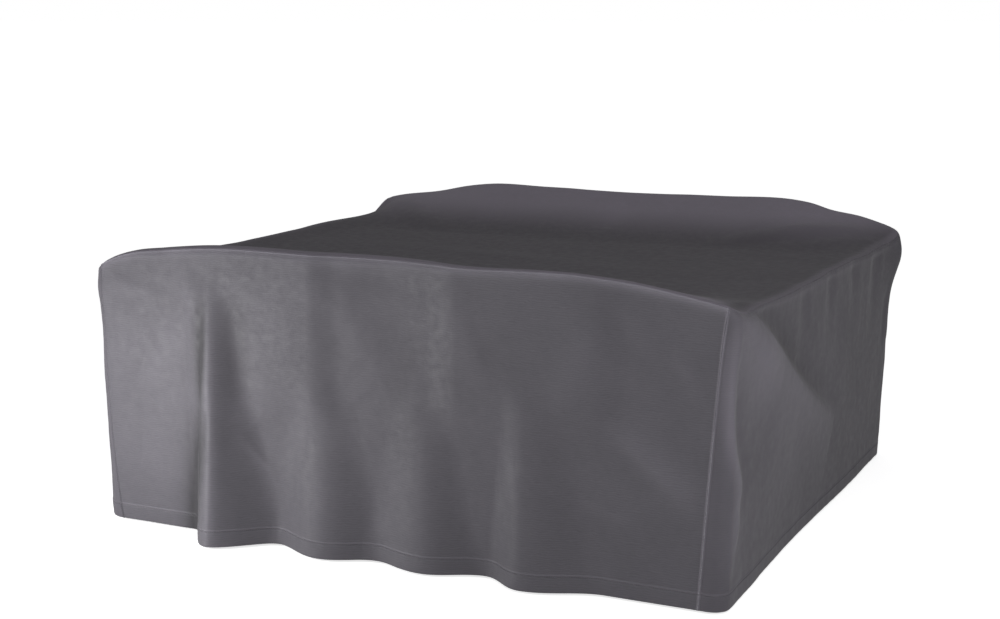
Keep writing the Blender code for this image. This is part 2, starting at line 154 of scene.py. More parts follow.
# Long folds in the top: x and y of both ends, width, depth.
topFoldRows = [
    (0.86, -0.76, 0.3, -0.48, 0.07, 0.01),
    (-0.88, -0.76, -0.42, -0.42, 0.075, 0.011),
    (0.88, 0.78, 0.42, 0.52, 0.07, 0.01),
    (-0.9, 0.78, -0.52, 0.48, 0.075, 0.011),
    (-0.62, 0.12, 0.25, -0.06, 0.11, 0.004),
]


# Curves and bumps that the shapes are made of.
def between(a, b, share):  # the value a share of the way from a to b
    return a + (b - a) * share


def smoothTable(rows, x):  # cubic Hermite through (place, value) rows, its slopes taken from the neighbours
    places, values = np.array(sorted(rows)).T
    slopes = np.gradient(values, places)
    i = np.clip(np.searchsorted(places, x) - 1, 0, len(places) - 2)
    span = places[i + 1] - places[i]
    t = np.clip((x - places[i]) / span, 0.0, 1.0)
    rising = (1 + 2 * t) * (1 - t) ** 2 * values[i] + t * (1 - t) ** 2 * span * slopes[i]
    return rising + t * t * (3 - 2 * t) * values[i + 1] - t * t * (1 - t) * span * slopes[i + 1]


def bell(offset, lowSide, highSide):  # 1 at offset 0, falling as a cosine to 0 at each side's width
    width = np.where(offset < 0, lowSide, highSide)
    return 0.5 + 0.5 * np.cos(np.pi * np.clip(np.abs(offset) / width, 0.0, 1.0))


def near(distance, width):  # exp(-(distance / width) ^ 2)
    return np.exp(-((distance / width) ** 2))


def ramp(value, soft):  # 0 below -soft, 1 above soft, a smooth cubic in between
    t = np.clip(0.5 + 0.5 * value / soft, 0.0, 1.0)
    return t * t * (3 - 2 * t)


def besideLine(x, y, start, end, width):  # cosine bell across the line, times half a sine wave along it
    run = np.subtract(end, start)
    length = np.hypot(*run)
    ahead = ((x - start[0]) * run[0] + (y - start[1]) * run[1]) / length
    aside = ((y - start[1]) * run[0] - (x - start[0]) * run[1]) / length
    return bell(aside, width, width) * np.sin(np.pi * np.clip(ahead / length, 0.0, 1.0))


def roundedPath(points, count=14):  # Catmull-Rom curve through the points, in count straight steps
    p = np.array(points, float)
    p = np.concatenate([[2 * p[0] - p[1]], p, [2 * p[-1] - p[-2]]])
    t = np.linspace(0, len(p) - 3 - 1e-9, count)
    i = t.astype(int)
    t = (t - i)[:, None]
    a, b, c, d = p[i], p[i + 1], p[i + 2], p[i + 3]
    return b + 0.5 * t * (c - a + t * (2 * a - 5 * b + 4 * c - d + t * (3 * b - a - 3 * c + d)))


def handFold(x, y, points, lowSide, highSide, depth, sharpness=2.0):
    # depth * exp(-|distance / width| ^ sharpness) off the nearest step of the path, fading at both ends;
    # the low side is on the left hand when walking along the path.
    path = roundedPath(points)
    start, run = path[:-1], np.diff(path, axis=0)
    length = np.hypot(*run.T)
    nearest = np.full(np.shape(x), np.inf)
    signed = np.zeros(np.shape(x))
    reached = np.zeros(np.shape(x))
    done = np.concatenate([[0.0], np.cumsum(length)])
    for (sx, sy), (rx, ry), step, before in zip(start, run / length[:, None], length, done):
        ahead = np.clip((x - sx) * rx + (y - sy) * ry, 0.0, step)
        away = np.hypot(x - sx - ahead * rx, y - sy - ahead * ry)
        closer = away < nearest
        nearest = np.where(closer, away, nearest)
        signed = np.where(closer, (y - sy) * rx - (x - sx) * ry, signed)
        reached = np.where(closer, before + ahead, reached)
    width = np.where(signed > 0, lowSide, highSide)
    rounded = np.sqrt((nearest / width) ** 2 + 0.02) - 0.1414
    fade = np.sin(np.pi * np.clip(reached / done[-1], 0.0, 1.0)) ** 0.7
    return depth * np.exp(-rounded ** sharpness) * fade


def uneven(x, y, seed, height, shortest, longest):  # sum of 14 sine waves of seeded heading, length and phase
    chance = np.random.default_rng(seed)
    turn, phase = chance.uniform(0, 2 * np.pi, (2, 14))
    wavelength = np.exp(chance.uniform(np.log(shortest), np.log(longest), 14))
    total = np.zeros(np.shape(x))
    for a, b, w in zip(turn, phase, wavelength):
        total += np.sin(2 * np.pi * (x * np.cos(a) + y * np.sin(a)) / w + b) * (w / longest) ** 0.6
    return height * total / 3.0


# The worn shape of the cloth.
def planCorner(index, up):  # a corner's plan point, a share of the way from the hem to the roll
    c = corners[index % 4]
    return np.stack([between(c["xHem"], c["xTop"], up), between(c["yHem"], c["yTop"], up)], axis=-1)


def headingAndLength(start, end):  # unit vectors from start to end, and the distances
    run = end - start
    length = np.linalg.norm(run, axis=-1)
    return run / length[..., None], length


def sideLength(side, level):
    up = np.minimum(level, 1.0)
    return headingAndLength(planCorner(firstCorner[side], up), planCorner(firstCorner[side] + 1, up))[1]


def seamDistance(index, level):  # upright seam's distance from its corner, growing as a power on the way down
    c = corners[index % 4]
    return between(c["seamTop"], c["seamHem"], (1 - np.minimum(level, 1.0)) ** c["seamBend"])


def edgeValue(side, at, field):  # smooth table of a top edge and its two corners; field 1 crest, 2 roll
    rows = [(row[0], row[field]) for row in edgeRows[side]]
    for c in (corners[firstCorner[side]], corners[(firstCorner[side] + 1) % 4]):
        place = c["yTop"] if placedBy[side] else c["xTop"]
        rows.append((place, c["crest"] if field == 1 else cover["cornerRoll"]))
    return smoothTable(rows, at)


def wallRelief(side, at, z, crest):  # flutes + dips + patches + creases, each a product of bells and ramps
    out = np.zeros_like(at)
    for place, lean, low, high, depth, reach in fluteRows[side]:
        left = np.clip(1 - z / reach, 0.0, 1.0)
        spread = between(cover["fluteTaper"], 1.0, left)
        out += depth * left ** cover["flutePower"] * bell(at - place - lean * z, low * spread, high * spread)
    below = np.maximum(crest - z, 0.0)
    for place, lean, low, high, depth, drop in dipRows[side]:
        left = np.clip(1 - below / drop, 0.0, 1.0) * np.clip(below / cover["dipOnset"], 0.0, 1.0)
        out += depth * left * bell(at - place - lean * below, low, high)
    for low, high, bottom, proud, soft in patchRows[side]:
        across = ramp(at - low, soft) * ramp(high - at, soft)
        out += proud * across * ramp(z - bottom, cover["patchSoftness"] * soft)
    for x0, z0, x1, z1, width, depth in creaseRows[side]:
        out += depth * besideLine(at, z, (x0, z0), (x1, z1), width)
    return out


def ringPoint(side, fraction, level, further=0.0):
    # Inner face of the walls: a straight side with an arc at each corner, its relief pushed out along the
    # plan normal, then a roll of the edge's radius turned by 90 degrees between levels 1 and 2.
    fraction, level = np.broadcast_arrays(np.asarray(fraction, float), np.asarray(level, float))
    index = firstCorner[side]
    up = np.minimum(level, 1.0)
    before, start, end, after = (planCorner(index + step, up) for step in (-1, 0, 1, 2))
    heading, length = headingAndLength(start, end)
    outward = np.stack([heading[..., 1], -heading[..., 0]], axis=-1)
    straight = between(start, end, fraction[..., None])
    plan, facing, bulge = straight, outward, np.zeros_like(fraction)
    for cornerIndex, point, neighbour, sign, gone in (
        (index, start, headingAndLength(before, start)[0], 1.0, length * fraction),
        (index + 1, end, headingAndLength(end, after)[0], -1.0, length * (1 - fraction)),
    ):
        c = corners[cornerIndex % 4]
        radius = between(c["rHem"], c["rTop"], up)
        halfTurn = np.arccos(np.clip(np.sum(heading * neighbour, axis=-1), -1.0, 1.0)) / 2
        trim = radius * np.tan(halfTurn)
        angle = halfTurn * np.clip(1 - gone / trim, 0.0, 1.0)
        centre = point + sign * heading * trim[..., None] - outward * radius[..., None]
        swung = outward * np.cos(angle)[..., None] - sign * heading * np.sin(angle)[..., None]
        onArc = (gone < trim)[..., None]
        plan = np.where(onArc, centre + swung * radius[..., None], plan)
        facing = np.where(onArc, swung, facing)
        bulge = bulge + c["bulge"] * near(gone, cover["shoulderWidth"])
    at = straight[..., placedBy[side]]
    crest, roll = edgeValue(side, at, 1), edgeValue(side, at, 2)
    turned = np.pi / 2 * np.clip(level - 1, 0.0, 1.0) + further / roll
    share = cover["hemShare"]
    aboveHem = between(cover["hemHeight"], crest - roll, (up - share) / (1 - share))
    wallZ = np.where(up < share, cover["hemHeight"] * up / share, aboveHem)
    z = wallZ + roll * np.sin(turned)
    bulge = bulge * near(z - cover["shoulderHeight"], cover["shoulderSpread"])
    out = wallRelief(side, at, wallZ, crest) + bulge
    plan = plan + facing * (out - roll * (1 - np.cos(turned)))[..., None]
    return np.concatenate([plan, z[..., None]], axis=-1)


def blendEdges(front, back, left, right, toFront, toBack, toLeft, toRight):
    # each edge times its weight, less the corners that two edges both count
    wf, wb, wl, wr = (w[..., None] for w in (toFront, toBack, toLeft, toRight))
    twice = wf * wl * front[:1] + wf * wr * front[-1:] + wb * wl * back[:1] + wb * wr * back[-1:]
    return wf * front + wb * back + wl * left + wr * right - twice


# Grids of the panels.
# Distances of a panel's outermost columns from its seam, in metres. The first leaves 0.1 mm between two
# sheets: the solids' own gap would let the lit ground show through.
seamSteps = np.array([
    0.00005, 0.0009, 0.0016, 0.0024, 0.0033, 0.0044, 0.0058, 0.0075, 0.01, 0.0135, 0.0185, 0.025])
# Shares of the rolled edge between the seam and the crest.
rollShares = np.array([0.014, 0.045, 0.08, 0.12, 0.17, 0.23, 0.31, 0.41, 0.54, 0.7, 0.85])


def stations(length, step, edge=seamSteps):  # shares of a length: the edge's fine steps, then even ones
    middle = np.linspace(edge[-1], length - edge[-1], max(2, int(round((length - 2 * edge[-1]) / step)) + 1))
    return np.concatenate([edge[:-1], middle, length - edge[:-1][::-1]]) / length


def wallLevels(step):  # levels up a wall: fine at the hem's foot and stitching and round the rolled edge
    foot = np.array([0.0, 0.0015, 0.0035, 0.007, 0.013, 0.02, 0.027, 0.032, 0.035])
    line = np.array([-46, -35, -26, -18, -11, -4, 4, 12, 20, 29, 40, 55, 78]) * 0.0001 + cover["hemHeight"]
    lowest, wall = 0.055, 0.775
    body = np.linspace(lowest, wall, int(round((wall - lowest) / step)) + 1)
    z = np.concatenate([foot, line, body])
    share = cover["hemShare"]
    above = share + (1 - share) * (z - cover["hemHeight"]) / (wall - cover["hemHeight"])
    rolled = cover["seamLevel"] - (cover["seamLevel"] - 1) * rollShares[::-1]
    return np.concatenate([np.where(z < cover["hemHeight"], share * z / cover["hemHeight"], above), rolled])


def normalsOf(grid):  # cross product of the grid's two tangents, which points outwards
    across = np.gradient(grid, axis=0)
    upward = np.gradient(grid, axis=1)
    n = np.cross(across, upward)
    return n / np.linalg.norm(n, axis=-1, keepdims=True)


def walked(grid, axis):  # distance walked along one axis of a grid
    step = np.linalg.norm(np.diff(grid, axis=axis), axis=-1)
    start = np.zeros_like(np.take(step, [0], axis=axis))
    return np.concatenate([start, np.cumsum(step, axis=axis)], axis=axis)


uprightSeam = {
    "ridge": 0.0022, "ridgeWidth": 0.0034,    # the turned edges stand up beside the seam
    "notch": 0.0019, "notchWidth": 0.0008,    # and the thread pulls them down in its middle
    "stitchAt": 0.005, "furrow": 0.0008, "furrowWidth": 0.0015,
}
topSeam = {
    "ridge": 0.0009, "ridgeWidth": 0.004,
    "notch": 0.0006, "notchWidth": 0.0007,
    "stitchAt": 0.0065, "furrow": 0.0005, "furrowWidth": 0.0015,
}


def seamShape(distance, kind):  # ridge - notch at the seam, and a furrow under the row of stitches beside it
    ridge = kind["ridge"] * near(distance, kind["ridgeWidth"])
    notch = kind["notch"] * near(distance, kind["notchWidth"])
    furrow = kind["furrow"] * near(distance - kind["stitchAt"], kind["furrowWidth"])
    return ridge - notch - furrow


hemLine = {
    "furrow": 0.0013, "furrowWidth": 0.0016,
    # the last width is that of the painted highlight along the lip
    "lip": 0.0013, "lipAt": 0.003, "lipWidth": 0.0018, "lipHighlightWidth": 0.0022,
    "foot": 0.001, "footWidth": 0.0022,       # the fold at the hem's lower edge is round
    "swellSoft": 0.003,
}


def hemShape(z):  # swell of the doubled cloth + lip of its turned edge - furrow at the stitches - round foot
    above = z - cover["hemHeight"]
    swell = cover["hemSwell"] * ramp(-above, hemLine["swellSoft"])
    lip = hemLine["lip"] * near(above - hemLine["lipAt"], hemLine["lipWidth"])
    furrow = hemLine["furrow"] * near(above, hemLine["furrowWidth"])
    return swell + lip - furrow - hemLine["foot"] * near(z, hemLine["footWidth"])


def gridFaces(columns, rows):  # quads of a grid numbered column by column
    c, r = np.meshgrid(np.arange(columns - 1), np.arange(rows - 1), indexing="ij")
    low = (c * rows + r).ravel()
    return np.stack([low, low + rows, low + rows + 1, low + 1], axis=-1)


def addMesh(name, points, faces, uv=None, fields=None):
    mesh = bpy.data.meshes.new(name)
    mesh.vertices.add(len(points))
    mesh.vertices.foreach_set("co", points.astype(np.float32).ravel())
    faces = np.asarray(faces, np.int32)
    mesh.loops.add(faces.size)
    mesh.loops.foreach_set("vertex_index", faces.ravel())
    mesh.polygons.add(len(faces))
    mesh.polygons.foreach_set("loop_start", np.arange(0, faces.size, faces.shape[1], dtype=np.int32))
    mesh.update(calc_edges=True)
    mesh.shade_smooth()
    if uv is not None:
        layer = mesh.uv_layers.new(name="cut")
        layer.data.foreach_set("uv", uv[faces.ravel()].astype(np.float32).ravel())
    for label, values in (fields or {}).items():
        mesh.attributes.new(label, "FLOAT", "POINT").data.foreach_set("value", values.astype(np.float32))
    piece = bpy.data.objects.new(name, mesh)
    bpy.context.scene.collection.objects.link(piece)
    return piece


def giveThickness(piece, hemVertices=None):  # thickness grows inwards, so that the outer face keeps its shape
    shell = piece.modifiers.new("thickness", "SOLIDIFY")
    shell.offset = -1.0
    shell.use_rim = True
    shell.thickness = cover["clothThickness"]
    if hemVertices is not None:
        piece.vertex_groups.new(name="hem").add(hemVertices.tolist(), 1.0, "REPLACE")
        shell.thickness = cover["hemThickness"]
        shell.vertex_group = "hem"
        shell.thickness_vertex_group = cover["clothThickness"] / cover["hemThickness"]


def finishWall(name, base, along, settings, firstSeam, lastSeam):
    # Outer face = inner face + normal * (thickness + seams + hem + listed folds + unevenness).
    z = base[..., 2]
    upTheWall = walked(base, 1)
    toTop = upTheWall[:, -1:] - upTheWall
    toSide = np.minimum(firstSeam, lastSeam)
    sideFade, topFade = cover["calmSide"], cover["calmTop"]
    quiet = ramp(toSide - sideFade, sideFade) * ramp(toTop - topFade, topFade)
    # Painted highlight: the cloth is painted paler along the rolled edge, beside the upright seams, on the
    # hem's lip and on the ridges of folds.
    rub = settings["rubbed"]
    rubbed = rub["crest"] * near(toTop, cover["highlightWidth"]) + rub["edge"] * near(toTop, cover["edgeWidth"])
    rubbed = rubbed + rub["firstSeam"] * near(firstSeam, cover["seamHighlightWidth"])
    rubbed = rubbed + rub["lastSeam"] * near(lastSeam, cover["seamHighlightWidth"])
    rubbed = rubbed + rub["hem"] * near(z - cover["hemHeight"] - hemLine["lipAt"], hemLine["lipHighlightWidth"])
    shaded = np.zeros_like(z)
    relief = cover["clothThickness"] + hemShape(z)
    relief = relief + seamShape(toSide, uprightSeam) + seamShape(toTop, topSeam)
    for points, lowSide, highSide, depth, sharpness in settings["folds"]:
        fold = quiet * handFold(along, z, points, lowSide, highSide, depth, sharpness)
        relief = relief + fold
        rubbed = rubbed + np.maximum(fold, 0.0) / cover["foldHighlightDepth"]
    # Painted shade along the shade lines, and painted highlight where a line's strength is below 0.
    for points, lowSide, highSide, strength in settings["paintedShadingLines"]:
        shaded = shaded + handFold(along, z, points, lowSide, highSide, strength)
    for seed, height, shortest, longest in settings["unevenness"]:
        relief = relief + quiet * uneven(along, z, seed, height, shortest, longest)
    outer = base + normalsOf(base) * relief[..., None] + centreShift
    middle = outer.shape[1] // 2
    u = walked(outer[:, middle:middle + 1], 0) + 0 * z
    uv = np.stack([u, walked(outer, 1)], axis=-1).reshape(-1, 2)
    flat = outer.reshape(-1, 3)
    fields = {"topSeam": toTop, "sideSeam": toSide, "hemLine": z - cover["hemHeight"]}
    fields = {label: values.ravel() for label, values in fields.items()}
    fields.update(rubbed=rubbed.ravel(), shaded=shaded.ravel())
    piece = addMesh(name, flat, gridFaces(*outer.shape[:2]), uv, fields)
    giveThickness(piece, np.flatnonzero(z.ravel() < cover["hemHeight"] + 0.001))
    return piece, outer


def longWall(name, side, settings):  # between the two upright seams, which lie on the front or back wall
    levels = wallLevels(settings["rowStep"])[None, :]
    length = sideLength(side, levels)
    first = seamDistance(firstCorner[side], levels)
    last = seamDistance(firstCorner[side] + 1, levels)
    share = stations(1.83, settings["columnStep"])[:, None]
    gone = first + (length - first - last) * share
    base = ringPoint(side, gone / length, levels)
    up = np.minimum(levels, 1.0)
    start, end = planCorner(firstCorner[side], up), planCorner(firstCorner[side] + 1, up)
    along = between(start, end, (gone / length)[..., None])[..., placedBy[side]]
    print("  cloth:", name, base.shape[:2])
    return finishWall(name, base, along, settings, gone - first, length - last - gone)


def endWall(name, side, sideBefore, sideAfter, settings):  # wraps round both its corners to the upright seams
    levels = wallLevels(settings["rowStep"])[None, :]
    up = np.minimum(levels, 1.0)
    length = sideLength(side, levels)
    share = stations(1.73, settings["columnStep"], np.linspace(0.0, 0.095, 20))[:, None]
    near = np.append(seamSteps[:8], np.full(9, seamSteps[7]))[:, None]  # fine steps at the seam
    wrap = np.append(np.zeros(8), np.linspace(0.0, 1.0, 10)[1:])[:, None]  # then even ones to the corner
    seamA = seamDistance(firstCorner[side], levels)
    seamB = seamDistance(firstCorner[side] + 1, levels)
    leadGone = seamA - between(near, seamA, wrap)
    tailGone = (seamB - between(near, seamB, wrap))[::-1]
    before, after = sideLength(sideBefore, levels), sideLength(sideAfter, levels)
    lead = ringPoint(sideBefore, 1 - leadGone / before, levels)
    middle = ringPoint(side, share + 0 * levels, levels)
    tail = ringPoint(sideAfter, tailGone / after, levels)
    base = np.concatenate([lead, middle[1:-1], tail])
    start, end = planCorner(firstCorner[side], up), planCorner(firstCorner[side] + 1, up)
    p0, p1 = start[..., placedBy[side]], end[..., placedBy[side]]
    sign = np.sign(p1 - p0)
    along = np.concatenate([p0 - sign * leadGone, between(p0, p1, share)[1:-1], p1 + sign * tailGone])
    gone = np.concatenate([-leadGone, (length * share)[1:-1], length + tailGone])
    print("  cloth:", name, base.shape[:2])
    return finishWall(name, base, along, settings, gone + seamA, length + seamB - gone)


# Front panel.
# Each fold: (place, height) points, width on its left and right hand, depth, sharpness. Minus is a trough.
# Each shade line: the same points and widths, then how much darker the cloth is painted as painted shade, or
# paler by minus as painted highlight.
frontCloth = {
    "columnStep": 0.0068,
    "rowStep": 0.0068,
    # painted highlight: how much paler the rolled edge, its rim, each upright seam and the hem's lip are
    # painted
    "rubbed": {"crest": 2.0, "edge": 3.6, "firstSeam": 0.0, "lastSeam": 4.0, "hem": 1.6},
    "folds": [
        ([(-0.575, 0.74), (-0.566, 0.547), (-0.558, 0.4), (-0.55, 0.25), (-0.54, 0.08), (-0.524, -0.2)],
         0.03, 0.011, 0.011, 1.6),
        ([(-0.602, 0.68), (-0.602, 0.5), (-0.606, 0.4), (-0.62, 0.25), (-0.63, 0.08), (-0.634, -0.1)],
         0.012, 0.026, -0.013, 1.4),
        ([(-0.5, 0.72), (-0.486, 0.6), (-0.474, 0.48), (-0.462, 0.36)], 0.052, 0.036, -0.01, 2.0),
        ([(-0.45, 0.66), (-0.44, 0.52), (-0.425, 0.4)], 0.03, 0.045, 0.004, 1.8),
        ([(-0.855, 0.44), (-0.894, 0.348), (-0.935, 0.25)], 0.026, 0.032, -0.004, 1.8),
        ([(-0.69, 0.64), (-0.751, 0.51), (-0.82, 0.39)], 0.044, 0.036, 0.0036, 1.9),
        ([(-0.822, 0.41), (-0.771, 0.357), (-0.71, 0.312)], 0.01, 0.012, -0.0018, 1.3),
        ([(-0.826, 0.39), (-0.835, 0.29), (-0.85, 0.19), (-0.885, 0.11)], 0.01, 0.016, -0.002, 1.3),
        ([(-0.484, 0.316), (-0.433, 0.252), (-0.375, 0.19)], 0.008, 0.013, 0.0026, 1.3),
        ([(-0.445, 0.33), (-0.395, 0.275), (-0.345, 0.235)], 0.016, 0.02, -0.0026, 1.5),
        ([(0.62, 0.466), (0.675, 0.418), (0.759, 0.35), (0.837, 0.282), (0.88, 0.24)],
         0.056, 0.03, 0.011, 1.8),
        ([(0.8, 0.66), (0.843, 0.588), (0.862, 0.52)], 0.022, 0.026, 0.0042, 1.7),
        ([(0.54, 0.25), (0.604, 0.228), (0.7, 0.2)], 0.008, 0.016, 0.0032, 1.3),
        ([(0.02, 0.7), (0.06, 0.56), (0.11, 0.43)], 0.05, 0.06, -0.005, 2.0),
        ([(-0.24, 0.795), (-0.09, 0.787), (0.08, 0.775)], 0.016, 0.034, -0.005, 1.8),
        ([(-0.18, 0.73), (-0.1, 0.6), (-0.04, 0.48)], 0.04, 0.04, 0.0036, 1.8),
        ([(0.18, 0.76), (0.23, 0.64), (0.3, 0.52)], 0.03, 0.045, 0.0034, 1.7),
        ([(0.59, 0.72), (0.54, 0.6), (0.47, 0.47)], 0.04, 0.03, 0.0034, 1.7),
        ([(-0.66, 0.77), (-0.64, 0.7), (-0.6, 0.62)], 0.026, 0.02, 0.0034, 1.6),
        ([(0.64, 0.78), (0.7, 0.7), (0.76, 0.64)], 0.024, 0.03, 0.0036, 1.6),
        ([(-0.93, 0.735), (-0.86, 0.7), (-0.76, 0.69)], 0.022, 0.026, 0.004, 1.6),
    ],
    # painted shade in the valley left of the main fold and in the hollow right of it
    "paintedShadingLines": [
        ([(-0.598, 0.38), (-0.606, 0.275), (-0.62, 0.155), (-0.634, 0.04), (-0.64, -0.16)],
         0.04, 0.05, 2.0),
        ([(-0.592, 0.7), (-0.59, 0.518), (-0.592, 0.405), (-0.6, 0.33)], 0.014, 0.026, 1.4),
        ([(-0.504, 0.72), (-0.486, 0.6), (-0.474, 0.48), (-0.466, 0.4)], 0.044, 0.044, 0.5),
    ],
    "unevenness": [(11, 0.0007, 0.12, 0.45), (12, 0.00014, 0.035, 0.09)],
}

# Right panel, placed by y.
rightCloth = {
    "columnStep": 0.0075,
    "rowStep": 0.0068,
    # painted highlight, as on the front panel
    "rubbed": {"crest": 1.0, "edge": 0.0, "firstSeam": 4.0, "lastSeam": 1.4, "hem": 1.4},
    "folds": [
        ([(-0.96, 0.812), (-0.868, 0.772), (-0.743, 0.717), (-0.62, 0.664), (-0.48, 0.584), (-0.348, 0.502),
          (-0.159, 0.408), (0.173, 0.26)], 0.034, 0.14, 0.023, 1.8),
        ([(-0.9, 0.82), (-0.74, 0.762), (-0.57, 0.695), (-0.4, 0.598), (-0.24, 0.505), (-0.05, 0.415),
          (0.18, 0.31)], 0.06, 0.03, -0.012, 1.6),
        ([(-0.872, 0.745), (-0.868, 0.6), (-0.85, 0.441), (-0.8, 0.326), (-0.806, 0.224), (-0.83, 0.08)],
         0.024, 0.034, 0.009, 1.6),
        ([(-0.845, 0.7), (-0.83, 0.56), (-0.79, 0.44), (-0.745, 0.33), (-0.76, 0.22)],
         0.03, 0.03, -0.005, 1.7),
        ([(-0.82, 0.36), (-0.775, 0.315), (-0.79, 0.27)], 0.012, 0.014, 0.0036, 1.4),
        ([(-0.812, 0.245), (-0.79, 0.205), (-0.815, 0.165)], 0.011, 0.013, 0.003, 1.4),
        ([(-0.225, 0.712), (-0.19, 0.64), (-0.13, 0.5)], 0.05, 0.06, -0.003, 2.0),
        ([(0.085, 0.705), (0.127, 0.6), (0.21, 0.44)], 0.05, 0.07, -0.0036, 2.0),
        ([(0.33, 0.702), (0.37, 0.6), (0.43, 0.5)], 0.06, 0.06, 0.003, 2.0),
        ([(0.62, 0.7), (0.66, 0.58), (0.69, 0.42)], 0.06, 0.07, -0.0034, 2.0),
        ([(0.84, 0.65), (0.82, 0.52), (0.85, 0.4)], 0.016, 0.022, 0.004, 1.5),
        ([(0.8, 0.6), (0.78, 0.48), (0.8, 0.36)], 0.02, 0.024, -0.0036, 1.5),
        ([(-0.56, 0.44), (-0.42, 0.3), (-0.34, 0.12)], 0.09, 0.11, 0.004, 2.0),
    ],
    # painted shadow along the fan's lower edge, painted highlight on the corner fold and the fan, painted
    # shade near the far end
    "paintedShadingLines": [
        ([(-0.86, 0.79), (-0.6, 0.695), (-0.38, 0.57), (-0.16, 0.45), (0.1, 0.33)], 0.06, 0.03, 0.5),
        ([(-0.872, 0.72), (-0.868, 0.6), (-0.85, 0.441), (-0.8, 0.326), (-0.806, 0.224), (-0.83, 0.08)],
         0.02, 0.026, -0.7),
        ([(-0.86, 0.73), (-0.74, 0.64), (-0.62, 0.56), (-0.5, 0.48)], 0.07, 0.09, -0.45),
        ([(0.86, 0.69), (0.88, 0.5), (0.89, 0.25)], 0.05, 0.03, 0.3),
    ],
    "unevenness": [(21, 0.0012, 0.14, 0.6), (22, 0.0003, 0.035, 0.1)],
}

# Back panel, placed by x.
backCloth = {
    "columnStep": 0.008,
    "rowStep": 0.0078,
    # painted highlight, as on the front panel
    "rubbed": {"crest": 1.6, "edge": 2.0, "firstSeam": 1.2, "lastSeam": 1.2, "hem": 1.0},
    "folds": [
        ([(0.56, 0.74), (0.54, 0.56), (0.6, 0.3), (0.64, -0.04)], 0.02, 0.03, 0.0055, 1.6),
        ([(-0.24, 0.74), (-0.22, 0.56), (-0.19, 0.3), (-0.18, -0.04)], 0.024, 0.034, 0.005, 1.7),
        ([(0.47, 0.7), (0.44, 0.56), (0.47, 0.4)], 0.036, 0.034, -0.009, 1.8),
        ([(-0.52, 0.7), (-0.48, 0.56), (-0.5, 0.42)], 0.034, 0.036, -0.0075, 1.8),
        ([(0.88, 0.73), (0.8, 0.62), (0.73, 0.48)], 0.03, 0.024, 0.005, 1.6),
        ([(-0.9, 0.74), (-0.82, 0.64), (-0.74, 0.56)], 0.022, 0.028, 0.005, 1.6),
        ([(-0.86, 0.47), (-0.8, 0.4), (-0.72, 0.36)], 0.012, 0.014, -0.003, 1.4),
        ([(0.02, 0.79), (0.04, 0.64), (0.08, 0.52)], 0.04, 0.05, -0.005, 1.8),
        ([(0.24, 0.42), (0.3, 0.33), (0.37, 0.28)], 0.014, 0.018, 0.003, 1.4),
        ([(-0.64, 0.33), (-0.56, 0.27), (-0.5, 0.18)], 0.012, 0.016, 0.003, 1.4),
    ],
    # painted shade in a trough
    "paintedShadingLines": [([(0.47, 0.68), (0.45, 0.56), (0.47, 0.43)], 0.03, 0.03, 0.3)],
    "unevenness": [(31, 0.0012, 0.1, 0.45), (32, 0.00035, 0.035, 0.09)],
}

# Left panel, placed by y.
leftCloth = {
    "columnStep": 0.008,
    "rowStep": 0.0078,
    # painted highlight, as on the front panel
    "rubbed": {"crest": 0.8, "edge": 0.0, "firstSeam": 1.2, "lastSeam": 0.0, "hem": 1.0},
    "folds": [
        ([(0.86, 0.75), (0.72, 0.68), (0.56, 0.56), (0.42, 0.43)], 0.06, 0.034, 0.007, 1.7),
        ([(-0.85, 0.735), (-0.72, 0.64), (-0.6, 0.5), (-0.54, 0.36)], 0.034, 0.06, 0.0065, 1.7),
        ([(-0.856, 0.64), (-0.846, 0.48), (-0.8, 0.34), (-0.82, 0.16)], 0.018, 0.024, 0.005, 1.5),
        ([(0.88, 0.64), (0.862, 0.48), (0.826, 0.32), (0.85, 0.15)], 0.022, 0.018, 0.005, 1.5),
        ([(-0.15, 0.722), (-0.12, 0.64), (-0.09, 0.52)], 0.024, 0.03, -0.0044, 1.6),
        ([(0.24, 0.715), (0.21, 0.61), (0.18, 0.5)], 0.024, 0.03, -0.0046, 1.6),
        ([(0.04, 0.715), (0.06, 0.6), (0.05, 0.48)], 0.03, 0.034, 0.0036, 1.7),
        ([(-0.36, 0.722), (-0.33, 0.6), (-0.28, 0.5)], 0.03, 0.03, 0.0034, 1.7),
        ([(0.48, 0.5), (0.46, 0.3), (0.44, -0.04)], 0.026, 0.034, 0.0036, 1.7),
        ([(-0.06, 0.52), (-0.05, 0.3), (-0.04, -0.04)], 0.028, 0.034, 0.004, 1.7),
        ([(-0.7, 0.42), (-0.62, 0.35), (-0.56, 0.31)], 0.011, 0.014, -0.0028, 1.4),
    ],
    # painted shade beside a fold
    "paintedShadingLines": [([(0.8, 0.7), (0.66, 0.62), (0.5, 0.5)], 0.034, 0.03, 0.3)],
    "unevenness": [(41, 0.0012, 0.12, 0.55), (42, 0.0003, 0.035, 0.1)],
}

